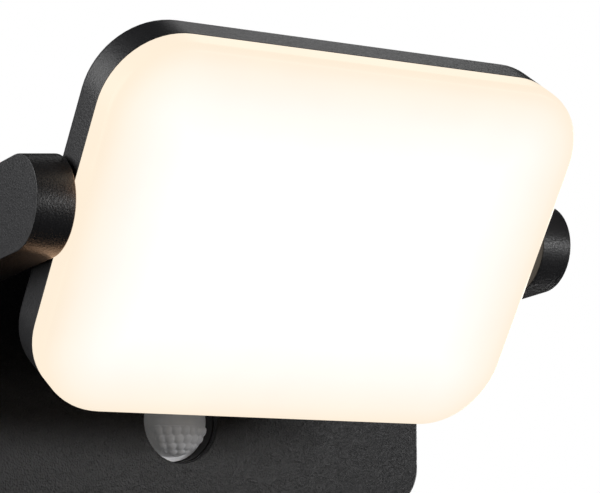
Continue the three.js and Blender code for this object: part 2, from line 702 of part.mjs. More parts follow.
function dial(x) {
  const low = BASE_BOTTOM + GAP;
  const top = SENSOR_Z - SENSOR_BOARD.below - GAP;
  const height = top - low;
  const profile = [
    [0, 0], [DIAL.knob, 0], [DIAL.knob, DIAL.knobHeight], [DIAL.shaft, DIAL.knobHeight],
    [DIAL.shaft, height], [0, height],
  ];
  const [w, l] = [DIAL.slotWidth / 2, DIAL.knob * DIAL.slotShare];
  return cut(
    turned(profile, [x, DIAL.axisY, low], Z, 16),
    block([x - w, DIAL.axisY - l, low - OVER], [x + w, DIAL.axisY + l, low + DIAL.slotDepth]),
  );
}

// ---------------------------------------------------------------- finishes

function finish(color, roughness, metalness) {
  return new THREE.MeshStandardMaterial({ color, roughness, metalness });
}

const FINISHES = {
  powderCoat: () => finish(0x3b3b3d, 0.72, 0.1),
  opal: () => finish(0xfff2de, 0.4, 0),
  steel: () => finish(0xb8bbc0, 0.35, 1),
  brass: () => finish(0xc2a15a, 0.35, 1),
  rubber: () => finish(0x161616, 0.85, 0),
  silicone: () => finish(0xd8d6d0, 0.6, 0),
  polythene: () => finish(0x8f9196, 0.35, 0),
  blackPlastic: () => finish(0x1d1d1f, 0.5, 0),
  whitePlastic: () => finish(0xe9e7e1, 0.5, 0),
  board: () => finish(0x2d5b3a, 0.5, 0),
  whiteBoard: () => finish(0xf2f1ec, 0.45, 0),
  cableSheath: () => finish(0xcfcac2, 0.55, 0),
};

// ---------------------------------------------------------------- assembly

const floodlight = new THREE.Group();
const head = new THREE.Group();
head.position.copy(AXIS);
head.rotation.x = HEAD.tilt;
floodlight.add(head);

function place(parent, name, body, finishName) {
  const { vertProperties, triVerts } = body.getMesh();
  const geometry = new THREE.BufferGeometry();
  geometry.setAttribute('position', new THREE.BufferAttribute(vertProperties, 3));
  geometry.setIndex(new THREE.BufferAttribute(triVerts, 1));
  geometry.computeVertexNormals();
  const mesh = new THREE.Mesh(geometry, FINISHES[finishName]());
  mesh.name = name;
  parent.add(mesh);
}

place(floodlight, 'wall_plate', wallPlate(), 'steel');
place(floodlight, 'base_gasket', baseGasket(), 'rubber');
place(floodlight, 'base_housing', baseHousing(), 'powderCoat');
place(floodlight, 'cable_grommet', cableGrommet(), 'rubber');
place(floodlight, 'terminal_block', terminalBlock(), 'whitePlastic');
place(floodlight, 'driver_case', driverCase(), 'whitePlastic');
place(floodlight, 'driver_board', driverBoard(), 'board');
place(floodlight, 'sensor_holder', sensorHolder(), 'blackPlastic');
place(floodlight, 'sensor_lens', sensorLens(), 'polythene');
place(floodlight, 'sensor_board', sensorBoard(), 'board');
place(floodlight, 'pyro_sensor', pyroSensor(), 'steel');
place(floodlight, 'arm_lead', armLead(), 'cableSheath');

for (const { name, x } of dialPlaces) {
  place(floodlight, `${name}_dial`, dial(x), 'blackPlastic');
}

for (const { side, sign } of SIDES) {
  place(floodlight, `${side}_arm`, arm(sign), 'powderCoat');
  place(floodlight, `${side}_arm_cover`, armCover(sign), 'powderCoat');
  place(floodlight, `${side}_friction_washer`, armWasher(sign), 'blackPlastic');
  place(floodlight, `${side}_spring_washer`, springWasher(sign), 'steel');
  for (const [level, rise] of [['upper', ARM_SCREW.rise], ['lower', -ARM_SCREW.rise]]) {
    const seat = [sign * ARM.middle, BASE_FRONT + BASE.wall + GAP, ARM_END_Z + rise];
    place(floodlight, `${side}_arm_screw_${level}`, screw(ARM_SCREW, seat, OUT), 'steel');
  }
  const underside = [sign * PLATE.lugX, BASE_SCREW.y, BASE_BOTTOM - GAP];
  place(floodlight, `${side}_base_screw`, screw(BASE_SCREW, underside, Z), 'steel');
  const boardSeat = [sign * HOLDER.legAt, SENSOR_BOARD.front + SENSOR_BOARD.thick + GAP, SENSOR_Z];
  place(floodlight, `${side}_sensor_board_screw`, screw(BOARD_SCREW, boardSeat, OUT), 'steel');
  place(head, `${side}_pivot_tube`, pivotTube(sign), 'steel');
  place(head, `${side}_pivot_nut`, pivotNut(sign), 'brass');
}

place(head, 'head_housing', headHousing(), 'powderCoat');
place(head, 'head_gasket', headGasket(), 'silicone');
place(head, 'diffuser', diffuser(), 'opal');
place(head, 'led_board', ledBoard(), 'whiteBoard');
place(head, 'reflector_sheet', reflectorSheet(), 'whitePlastic');
place(head, 'head_lead', headLead(), 'cableSheath');

ledScrewPlaces.forEach(([x, z], i) => {
  const size = {
    shank: LED.screwShank, length: LED.screwLength, head: LED.screwHead, headHeight: LED.screwHeadHeight,
  };
  place(head, `led_board_screw_${i + 1}`, screw(size, [x, BOARD_FRONT - GAP, z], Y), 'steel');
});

rearScrewPlaces.forEach(([x, z], i) => {
  const seat = [x, HEAD_BACK - REAR_SCREW.headHeight, z];
  place(head, `rear_screw_${i + 1}`, screw(REAR_SCREW, seat, OUT), 'steel');
});

export default floodlight;
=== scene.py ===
"""A wall floodlight with a motion sensor, put together from the wall outwards.

Metres, +Z up, +Y into the wall, and +X along the axis that the head tilts about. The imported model
gives every place and size that it can. Each section holds one piece, or one group of like pieces.
"""

import json
import math

import bmesh
import bpy
from mathutils import Matrix, Vector


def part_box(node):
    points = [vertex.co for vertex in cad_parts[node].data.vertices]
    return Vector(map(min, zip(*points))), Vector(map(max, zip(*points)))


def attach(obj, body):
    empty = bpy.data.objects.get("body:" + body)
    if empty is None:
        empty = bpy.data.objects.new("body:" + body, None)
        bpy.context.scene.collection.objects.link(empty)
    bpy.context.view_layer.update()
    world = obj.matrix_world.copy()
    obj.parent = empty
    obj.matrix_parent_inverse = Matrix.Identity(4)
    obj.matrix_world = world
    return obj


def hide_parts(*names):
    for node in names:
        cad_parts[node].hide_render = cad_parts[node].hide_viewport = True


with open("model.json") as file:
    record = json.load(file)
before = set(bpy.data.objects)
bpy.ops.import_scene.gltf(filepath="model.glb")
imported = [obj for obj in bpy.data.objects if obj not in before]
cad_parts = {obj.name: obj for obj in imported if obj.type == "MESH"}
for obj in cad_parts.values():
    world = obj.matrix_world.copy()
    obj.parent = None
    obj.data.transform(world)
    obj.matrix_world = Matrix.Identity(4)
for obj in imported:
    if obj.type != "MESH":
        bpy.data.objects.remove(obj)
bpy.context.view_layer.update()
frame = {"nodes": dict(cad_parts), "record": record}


# ---- Wall plate -------------------------------------------------------------------------------------
# A bracket pressed from 2 mm sheet steel and zinc plated. It is screwed to the wall first, through its
# slots, and its two lugs take the screws that hold the base.

class Wire:
    """One output of a node. Arithmetic written with it adds Math nodes to the same tree."""

    def __init__(self, tree, socket):
        self.tree = tree
        self.socket = socket

    def math(self, operation, first, second=0.0):
        return add(self.tree, "ShaderNodeMath", {"operation": operation}, {0: first, 1: second})

    def __add__(self, other):
        return self.math("ADD", self, other)

    __radd__ = __add__

    def __sub__(self, other):
        return self.math("SUBTRACT", self, other)

    def __rsub__(self, other):
        return self.math("SUBTRACT", other, self)

    def __mul__(self, other):
        return self.math("MULTIPLY", self, other)

    __rmul__ = __mul__

    def __truediv__(self, other):
        return self.math("DIVIDE", self, other)

    def __pow__(self, other):
        return self.math("POWER", self, other)

    def __abs__(self):
        return self.math("ABSOLUTE", self)

    def at_least(self, other):
        return self.math("MAXIMUM", self, other)

    def at_most(self, other):
        return self.math("MINIMUM", self, other)


def add(tree, kind, settings=None, inputs=None, out=0):
    """Adds a node: first its settings and a ramp's stops, then its sockets' values or wires."""
    node = tree.nodes.new(kind)
    for key, value in (settings or {}).items():
        if key == "stops":
            ramp = node.color_ramp.elements
            while len(ramp) < len(value):
                ramp.new(1.0)
            for element, (position, color) in zip(ramp, value):
                element.position = position
                element.color = (*color, 1.0)
        else:
            setattr(node, key, value)
    for key, value in (inputs or {}).items():
        for item in value if isinstance(value, list) else [value]:
            if isinstance(item, Wire):
                tree.links.new(item.socket, node.inputs[key])
            else:
                node.inputs[key].default_value = item
    return Wire(tree, node.outputs[out]) if node.outputs else None


class Finish:
    """A material on one Principled shader, whose sockets are given values or wires by name."""

    def __init__(self, name, color, roughness, metallic=0.0):
        self.material = bpy.data.materials.new(name)
        self.material.use_nodes = True
        self.tree = self.material.node_tree
        self.shader = self.tree.nodes["Principled BSDF"]
        self.set("Base Color", (*color, 1.0))
        self.set("Roughness", roughness)
        self.set("Metallic", metallic)

    def set(self, socket, value):
        if isinstance(value, Wire):
            self.tree.links.new(value.socket, self.shader.inputs[socket])
        else:
            self.shader.inputs[socket].default_value = value

    def add(self, kind, settings=None, inputs=None, out=0):
        return add(self.tree, kind, settings, inputs, out)

    def spot(self):
        """Where on the piece a point is, in metres."""
        return self.add("ShaderNodeTexCoord", out="Object")

    def noise(self, scale, detail=2.0, stretch=(1.0, 1.0, 1.0)):
        """Noise from 0 to 1, with about one lump in each 1 / scale metres."""
        where = self.add("ShaderNodeMapping", {}, {"Vector": self.spot(), "Scale": stretch})
        return self.add("ShaderNodeTexNoise", {}, {"Vector": where, "Scale": scale, "Detail": detail})

    def mix(self, factor, first, second):
        sockets = {0: factor, 6: first, 7: second}
        for key in (6, 7):
            if not isinstance(sockets[key], Wire):
                sockets[key] = (*sockets[key], 1.0)
        return self.add("ShaderNodeMix", {"data_type": "RGBA"}, sockets, out=2)

    def bump(self, height, depth, strength=1.0):
        values = {"Height": height, "Distance": depth, "Strength": strength}
        self.set("Normal", self.add("ShaderNodeBump", {}, values))


def zinc_plating():
    zinc = Finish("zinc_plating", (0.52, 0.53, 0.55), 0.38, 1.0)
    clouds = zinc.noise(60.0, 4.0)
    grain = zinc.noise(900.0, 2.0, (1.0, 1.0, 0.06))
    zinc.set("Base Color", zinc.mix(clouds, (0.46, 0.47, 0.48), (0.60, 0.59, 0.55)))
    zinc.set("Roughness", clouds * 0.16 + grain * 0.12 + 0.24)
    zinc.bump(grain, 0.00002, 0.4)
    return zinc.material


def dress(node, material):
    """Gives a CAD node that stays its finish."""
    frame["nodes"][node].material_slots[0].material = material


dress("wall_plate", zinc_plating())


# ---- Base gasket ------------------------------------------------------------------------------------
# A 2 mm ring of closed-cell EPDM foam, die cut and glued to the base's rim, which it seals to the wall.

CORNER_STEPS = 16
BASE_CORNER = 0.0178
GASKET_WIDTH = 0.003
GASKET_INSET = 0.0005


def eased(corners, radius, steps=5):
    """Rounds the inner corners of an open line of points. A third number gives a corner its own radius."""
    line = [Vector(corners[0][:2])]
    for before, corner, after in zip(corners, corners[1:], corners[2:]):
        here = Vector(corner[:2])
        back = Vector(before[:2]) - here
        ahead = Vector(after[:2]) - here
        wanted = corner[2] if len(corner) > 2 else radius
        reach = min(wanted, back.length * 0.49, ahead.length * 0.49)
        start = here + back.normalized() * reach
        end = here + ahead.normalized() * reach
        for i in range(steps + 1):
            t = i / steps
            line.append(start * (1 - t) ** 2 + here * 2 * t * (1 - t) + end * t * t)
    line.append(Vector(corners[-1][:2]))
    return [(point.x, point.y) for point in line]


def rounded_rect(size, corner, inset=0.0):
    """Points round a rectangle, anticlockwise, as (across, up), the same number for any inset."""
    points = []
    for turn, (side_x, side_z) in enumerate(((1, 1), (-1, 1), (-1, -1), (1, -1))):
        for i in range(CORNER_STEPS + 1):
            angle = (turn + i / CORNER_STEPS) * math.pi / 2
            across = side_x * (size[0] / 2 - corner) + (corner - inset) * math.cos(angle)
            up = side_z * (size[1] / 2 - corner) + (corner - inset) * math.sin(angle)
            points.append((across, up))
    return points


def skin(name, rings, loop=False):
    """Joins rings of points with quads, and closes the ends, or joins the last ring to the first."""
    mesh = bmesh.new()
    rows = [[mesh.verts.new(point) for point in ring] for ring in rings]
    pairs = list(zip(rows, rows[1:]))
    if loop:
        pairs.append((rows[-1], rows[0]))
    for first, second in pairs:
        for i in range(len(first)):
            mesh.faces.new((first[i - 1], first[i], second[i], second[i - 1]))
    if not loop:
        mesh.faces.new(rows[0])
        mesh.faces.new(rows[-1])
    bmesh.ops.remove_doubles(mesh, verts=mesh.verts, dist=1e-7)
    bmesh.ops.recalc_face_normals(mesh, faces=mesh.faces)
    data = bpy.data.meshes.new(name)
    mesh.to_mesh(data)
    mesh.free()
    return as_object(name, data)


def as_object(name, data):
    piece = bpy.data.objects.new(name, data)
    bpy.context.scene.collection.objects.link(piece)
    return piece


def rect_rings(profile, size, corner, placing=Matrix()):
    """Rings for a shell whose wall is a line of (inset, depth) points swept round a rounded rectangle."""
    return [
        [placing @ Vector((across, depth, up)) for across, up in rounded_rect(size, corner, inset)]
        for inset, depth in profile
    ]


def settle(piece):
    """Turns a piece's live modifiers into plain mesh."""
    graph = bpy.context.evaluated_depsgraph_get()
    data = bpy.data.meshes.new_from_object(piece.evaluated_get(graph))
    piece.modifiers.clear()
    piece.data = data
    return piece


def fit(piece, material, slot, body, *nodes, sharp=35.0):
    """Smooths a piece up to its crisp edges, and sets its material, body and replaced nodes. The slot
    argument is not used.
    """
    piece.data.polygons.foreach_set("use_smooth", [True] * len(piece.data.polygons))
    piece.data.set_sharp_from_angle(angle=math.radians(sharp))
    weighting = piece.modifiers.new("flat faces first", "WEIGHTED_NORMAL")
    weighting.keep_sharp = True
    settle(piece)
    piece.data.materials.clear()
    piece.data.materials.append(material)
    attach(piece, body)
    if nodes:
        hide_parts(*nodes)
    return piece


def foam_rubber():
    foam = Finish("foam_rubber", (0.012, 0.012, 0.012), 0.9)
    cells = foam.noise(2500.0, 3.0)
    foam.set("Roughness", cells * 0.15 + 0.8)
    foam.bump(cells, 0.0001, 0.6)
    return foam.material


gasket_low, gasket_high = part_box("base_gasket")
gasket_size = (gasket_high.x - gasket_low.x, gasket_high.z - gasket_low.z)
gasket_corner = BASE_CORNER - GASKET_INSET
gasket_section = eased([
    (0.0, gasket_low.y / 2),
    (0.0, gasket_low.y),
    (GASKET_WIDTH, gasket_low.y),
    (GASKET_WIDTH, 0.0),
    (0.0, 0.0),
    (0.0, gasket_low.y / 2),
], 0.0004)
base_seal = skin("base_seal", rect_rings(gasket_section, gasket_size, gasket_corner), loop=True)
fit(base_seal, foam_rubber(), "black_rubber", "base", "base_gasket")


# ---- Cable grommet ----------------------------------------------------------------------------------
# A moulded EPDM grommet, snapped into the plate's hole, which keeps the supply cable off the steel.

def turned(name, profile, origin, direction, steps=64, loop=False):
    """Turns (radius, distance) points about an axis. An open line starts and ends on the axis."""
    turn = Vector((0, 0, 1)).rotation_difference(Vector(direction)).to_matrix()
    rings = []
    for radius, along in profile:
        ring = []
        for i in range(steps):
            angle = 2 * math.pi * i / steps
            spoke = Vector((radius * math.cos(angle), radius * math.sin(angle), along))
            ring.append(Vector(origin) + turn @ spoke)
        rings.append(ring)
    return skin(name, rings, loop)


def moulded_rubber():
    rubber = Finish("moulded_rubber", (0.016, 0.016, 0.016), 0.62)
    bloom = rubber.noise(120.0, 3.0)
    rubber.set("Roughness", bloom * 0.2 + 0.5)
    rubber.set("Base Color", rubber.mix(bloom, (0.012, 0.012, 0.012), (0.026, 0.026, 0.025)))
    return rubber.material


rubber = moulded_rubber()
OUT = (0, -1, 0)
grommet_low, grommet_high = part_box("cable_grommet")
GROMMET_BORE = 0.0046
GROMMET_FLANGE = 0.002
GROMMET_GROOVE = 0.0028
grommet_middle = (grommet_low + grommet_high) / 2
grommet_radius = (grommet_high.x - grommet_low.x) / 2
grommet_depth = grommet_high.y - grommet_low.y
grommet_waist = grommet_radius - GROMMET_GROOVE
grommet_section = eased([
    (GROMMET_BORE, grommet_depth / 2),
    (GROMMET_BORE, 0.0),
    (grommet_waist, 0.0),
    (grommet_waist, grommet_depth - GROMMET_FLANGE),
    (grommet_radius, grommet_depth - GROMMET_FLANGE),
    (grommet_radius, grommet_depth),
    (GROMMET_BORE, grommet_depth),
    (GROMMET_BORE, grommet_depth / 2),
], 0.0006)
grommet_origin = (grommet_middle.x, grommet_high.y, grommet_middle.z)
grommet = turned("supply_grommet", grommet_section, grommet_origin, OUT, loop=True)
fit(grommet, rubber, "black_rubber", "base", "cable_grommet")


# ---- Terminals and driver ---------------------------------------------------------------------------
# The supply ends in a three-way polycarbonate terminal block. A driver in an open white case, with its
# transformer, capacitors and transistor on one board, turns the mains into the lamp's current.

def white_polycarbonate():
    plastic = Finish("white_polycarbonate", (0.78, 0.77, 0.73), 0.42)
    mottle = plastic.noise(220.0, 3.0)
    plastic.set("Base Color", plastic.mix(mottle, (0.74, 0.73, 0.69), (0.82, 0.81, 0.77)))
    plastic.set("Roughness", mottle * 0.12 + 0.36)
    return plastic.material


def solder_resist(name, dark, light):
    board = Finish(name, dark, 0.32)
    copper = board.add(
        "ShaderNodeTexBrick", {},
        {"Vector": board.spot(), "Scale": 260.0, "Mortar Size": 0.018, "Color1": (1, 1, 1, 1),
         "Color2": (1, 1, 1, 1), "Mortar": (0, 0, 0, 1)},
    )
    board.set("Base Color", board.mix(copper, light, dark))
    board.set("Roughness", board.noise(400.0) * 0.1 + 0.26)
    return board.material


white_plastic = white_polycarbonate()
green_board = solder_resist("green_solder_resist", (0.020, 0.105, 0.045), (0.045, 0.190, 0.080))
dress("terminal_block", white_plastic)
dress("driver_case", white_plastic)
dress("driver_board", green_board)


# ---- Base cover -------------------------------------------------------------------------------------
# A die-cast aluminium cover, open to the wall, with a coarse-grained anthracite powder coat. A round
# opening takes the motion sensor, and plain holes take the arms' screws, the base's screws and the dials.

BASE_WALL = 0.003
BASE_ROUND = 0.0016
SCREW_HOLE = 0.0023
LEAD_HOLE = 0.004
SENSOR_HOLE = 0.0168
DIAL_HOLE = 0.0045
SENSOR_LIP = 0.0006
OVERLAP = 0.001
FLAT_FROM = 0.8


def powder_coat(name, roughness, depth):
    """Anthracite powder coat: pebbles that stand depth high, with a finer grain over them."""
    coat = Finish(name, (0.033, 0.033, 0.035), roughness)
    grain = coat.noise(1500.0, 3.0) * 2.6 - 0.8
    patches = coat.noise(26.0, 3.0)
    pebbles = coat.add(
        "ShaderNodeTexVoronoi", {"feature": "SMOOTH_F1"},
        {"Vector": coat.spot(), "Scale": 1250.0, "Smoothness": 0.5}, out="Distance",
    )
    tone = (grain * 0.6 + patches * 0.4).at_least(0.0).at_most(1.0)
    coat.set("Base Color", coat.mix(tone, (0.027, 0.027, 0.029), (0.038, 0.038, 0.0405)))
    coat.set("Roughness", (grain - 0.5) * 0.12 + roughness)
    coat.bump(grain * 0.4 + pebbles, depth, 0.65)
    return coat.material


def carve(piece, cutters, operation="DIFFERENCE"):
    """Cuts the cutters out of a piece, or joins them to it, and removes them."""
    for cutter in cutters:
        change = piece.modifiers.new("cut", "BOOLEAN")
        change.operation = operation
        change.solver = "EXACT"
        change.object = cutter
    settle(piece)
    for cutter in cutters:
        bpy.data.objects.remove(cutter)
    return piece


def drill(start, direction, radius, depth, lip=0.0003):
    """A cutter for a round hole with an eased mouth at start."""
    profile = [(0.0, -OVERLAP), (radius + lip, -OVERLAP), (radius + lip, 0.0)]
    for i in range(1, 5):
        angle = i / 4 * math.pi / 2
        profile.append((radius + lip * (1 - math.sin(angle)), lip * (1 - math.cos(angle))))
    profile += [(radius, depth), (0.0, depth)]
    return turned("drill", profile, start, direction, 48)


def middle(node):
    low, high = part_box(node)
    return (low + high) / 2


coarse_coat = powder_coat("coarse_powder_coat", roughness=0.44, depth=0.0004)
IN = (0, 1, 0)
UP = (0, 0, 1)
sides = (("left", -1), ("right", 1))
dials = ("time", "lux", "range")
base_low, base_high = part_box("base_housing")
base_size = (base_high.x - base_low.x, base_high.z - base_low.z)
base_section = eased([
    (BASE_CORNER * FLAT_FROM, base_low.y + BASE_WALL),
    (BASE_WALL, base_low.y + BASE_WALL, 0.001),
    (BASE_WALL, base_high.y),
    (0.0, base_high.y),
    (0.0, base_low.y, BASE_ROUND),
    (BASE_CORNER * FLAT_FROM, base_low.y),
], 0.0004)
base_cover = skin("base_cover", rect_rings(base_section, base_size, BASE_CORNER))

sensor_middle = middle("sensor_lens")
through = BASE_WALL + 2 * OVERLAP
holes = [drill((sensor_middle.x, base_low.y, sensor_middle.z), IN, SENSOR_HOLE, through, SENSOR_LIP)]
for side, sign in sides:
    upper, lower = middle(f"{side}_arm_screw_upper"), middle(f"{side}_arm_screw_lower")
    for spot in (upper, lower):
        holes.append(drill((spot.x, base_low.y, spot.z), IN, SCREW_HOLE, through))
    holes.append(drill((upper.x, base_low.y, (upper.z + lower.z) / 2), IN, LEAD_HOLE, through))
    spot = middle(f"{side}_base_screw")
    holes.append(drill((spot.x, spot.y, base_low.z), UP, SCREW_HOLE, through))
for name in dials:
    spot = middle(f"{name}_dial")
    holes.append(drill((spot.x, spot.y, base_low.z), UP, DIAL_HOLE, through))
carve(base_cover, holes)
fit(base_cover, coarse_coat, "powder_coat", "base", "base_housing")


# ---- Base screws ------------------------------------------------------------------------------------
# Two stainless M4 pan-head screws with cross recesses, put in from below, through the cover and into
# the plate's lugs. The lamp's other screws are made by the same rule, in their own sections.

class Growth:
    """A Geometry Nodes tree with named sizes, which ends in Realize Instances and Set Material."""

    def __init__(self, name, sizes):
        self.tree = bpy.data.node_groups.new(name, "GeometryNodeTree")
        self.tree.interface.new_socket("Geometry", in_out="OUTPUT", socket_type="NodeSocketGeometry")
        self.keys = {}
        kinds = {"Geometry": "Geometry", **sizes, "Material": "Material"}
        for label, kind in kinds.items():
            kind = f"NodeSocket{kind}"
            socket = self.tree.interface.new_socket(label, in_out="INPUT", socket_type=kind)
            self.keys[label] = socket.identifier
        self.entry = self.tree.nodes.new("NodeGroupInput")

    def __getitem__(self, label):
        return Wire(self.tree, self.entry.outputs[label])

    def add(self, kind, settings=None, inputs=None, out=0):
        return add(self.tree, kind, settings, inputs, out)

    def vector(self, x=0.0, y=0.0, z=0.0):
        return self.add("ShaderNodeCombineXYZ", {}, {0: x, 1: y, 2: z})

    def part(self, vector, axis):
        return self.add("ShaderNodeSeparateXYZ", {}, {0: vector}, out=axis)

    def position(self):
        return self.add("GeometryNodeInputPosition")

    def move(self, geometry, offset, **inputs):
        return self.add("GeometryNodeSetPosition", {}, {"Geometry": geometry, "Offset": offset, **inputs})

    def solid(self, operation, *meshes):
        first, rest = {}, list(meshes)
        if operation == "DIFFERENCE":
            first, rest = {"Mesh 1": meshes[0]}, list(meshes[1:])
        settings = {"operation": operation, "solver": "EXACT"}
        return self.add("GeometryNodeMeshBoolean", settings, {**first, "Mesh 2": rest})

    def end(self, geometry):
        real = self.add("GeometryNodeRealizeInstances", {}, {"Geometry": geometry})
        covered = self.add("GeometryNodeSetMaterial", {}, {"Geometry": real, "Material": self["Material"]})
        self.add("NodeGroupOutput", {}, {"Geometry": covered})

    def grow(self, name, points, material, sizes, placing=Matrix()):
        """Grows one plain mesh from points, or from a mesh, with the tree's sizes set."""
        piece = points
        if not isinstance(points, bpy.types.Object):
            data = bpy.data.meshes.new(name)
            data.from_pydata(points, [], [])
            piece = as_object(name, data)
        modifier = piece.modifiers.new(name, "NODES")
        modifier.node_group = self.tree
        for label, value in {**sizes, "Material": material}.items():
            modifier[self.keys[label]] = value
        settle(piece)
        piece.data.transform(placing)
        return piece


def screw_tree():
    """A pan-head screw at each point, with its seat at the point and its tip towards +Z."""
    tree = Growth("screws", {
        "Head Radius": "Float", "Head Height": "Float", "Shank Radius": "Float", "Length": "Float",
    })
    radius, height, length = tree["Head Radius"], tree["Head Height"], tree["Length"]
    blank = tree.add(
        "GeometryNodeMeshCylinder", {},
        {"Vertices": 32, "Side Segments": 3, "Fill Segments": 5, "Radius": radius, "Depth": height},
    )
    place = tree.position()
    reach = (tree.part(place, 0) ** 2 + tree.part(place, 1) ** 2) / (radius * radius)
    outer_half = place.math("LESS_THAN", tree.part(place, 2), -0.25 * height)
    drop = reach * reach * height * 0.42 * outer_half
    head = tree.move(blank, tree.vector(z=drop - height * 0.5))
    shank = tree.add(
        "GeometryNodeMeshCylinder", {}, {"Vertices": 24, "Radius": tree["Shank Radius"], "Depth": length},
    )
    shank = tree.move(shank, tree.vector(z=length * 0.5 - 0.0001))
    bars = []
    for size in ((radius * 1.15, radius * 0.24), (radius * 0.24, radius * 1.15)):
        bar = tree.add("GeometryNodeMeshCube", {}, {"Size": tree.vector(size[0], size[1], height)})
        bars.append(tree.move(bar, tree.vector(z=height * -0.9)))
    screw = tree.solid("DIFFERENCE", tree.solid("UNION", head, shank), *bars)
    points = tree.add("GeometryNodeMeshToPoints", {}, {"Mesh": tree["Geometry"]})
    tree.end(tree.add("GeometryNodeInstanceOnPoints", {}, {"Points": points, "Instance": screw}))
    return tree


def stainless_steel():
    steel = Finish("stainless_steel", (0.56, 0.56, 0.57), 0.28, 1.0)
    turning = steel.noise(1400.0, 2.0)
    haze = steel.noise(180.0, 3.0)
    steel.set("Roughness", turning * 0.12 + haze * 0.16 + 0.16)
    steel.set("Base Color", steel.mix(haze, (0.48, 0.48, 0.49), (0.62, 0.62, 0.62)))
    steel.bump(turning, 0.00001, 0.5)
    return steel.material


steel = stainless_steel()
screws = screw_tree()


def facing(direction):
    """The turn that takes +Z to a direction."""
    return Vector((0, 0, 1)).rotation_difference(Vector(direction)).to_matrix().to_4x4()


base_screw_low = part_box("left_base_screw")[0]
BASE_SCREW = {"Head Radius": 0.0036, "Head Height": 0.0022, "Shank Radius": 0.002, "Length": 0.0085}
seat_z = base_screw_low.z + BASE_SCREW["Head Height"]
seats = [(middle(f"{side}_base_screw").x, middle(f"{side}_base_screw").y, seat_z) for side, sign in sides]
base_screws = screws.grow("base_screws", seats, steel, BASE_SCREW)
fit(base_screws, steel, "screw_steel", "base", "left_base_screw", "right_base_screw", sharp=30.0)


# ---- Motion sensor ----------------------------------------------------------------------------------
# A pyroelectric cell in a metal can on a small board, held behind the cover in a black ABS cup. Its
# dome is pressed from thin milky polythene, with rows of lenslets that each throw their zone on the cell.

LENS_RADIUS = 0.0141
LENS_FLANGE = 0.016
LENS_FLANGE_DEPTH = 0.0012
LENS_WALL = 0.001
LENS_STEP = 0.0002
DOME_ARC = (1.2, 89.0, 78)
HOLLOW_ARC = (88.0, 0.0, 20)
LENSLET = math.radians(15.0)
LENSLET_RISE = 0.0006
LENSLET_EDGE = 0.4
LENSLET_REACH = 0.56
# Strength of the dome's painted glow: emitted light on a part that is no lamp
LENS_PAINTED_GLOW = 0.06
PLAIN_BAND = math.radians(9.0)
FIELD_AXIS = (0.0, -math.cos(math.radians(13.0)), -math.sin(math.radians(13.0)))
FIELD_ANGLE = math.radians(57.0)
CUP_DEPTH = 0.0078
CUP_SEAT = 0.001
CUP_POCKET = 0.0164
CUP_INNER = 0.013
CUP_SLEEVE = 0.0181
CUP_COLLAR = 0.021
CUP_COLLAR_THICK = 0.002
LEG_RADIUS = 0.0024
LEG_BORE = 0.0015
LEG_BORE_DEPTH = 0.0035
BOARD_SCREW = {"Head Radius": 0.0024, "Head Height": 0.0016, "Shank Radius": 0.0012, "Length": 0.0048}


def black_abs():
    plastic = Finish("black_abs", (0.010, 0.010, 0.011), 0.5)
    spark = plastic.noise(1600.0, 2.0)
    plastic.set("Roughness", spark * 0.16 + 0.38)
    shade = plastic.mix(plastic.noise(90.0), (0.007, 0.007, 0.008), (0.016, 0.016, 0.017))
    plastic.set("Base Color", shade)
    plastic.bump(spark, 0.00004, 0.5)
    return plastic.material


def milky_polythene():
    milk = Finish("milky_polythene", (0.84, 0.84, 0.87), 0.3)
    cloud = milk.noise(260.0, 3.0)
    milk.set("Base Color", milk.mix(cloud, (0.80, 0.805, 0.835), (0.88, 0.885, 0.915)))
    milk.set("Roughness", cloud * 0.1 + 0.24)
    # A faint painted glow: emission that stands in for light scattered through the milky dome, which is no
    # lamp
    milk.set("Emission Color", (1.0, 1.0, 1.0, 1.0))
    milk.set("Emission Strength", LENS_PAINTED_GLOW)
    return milk.material


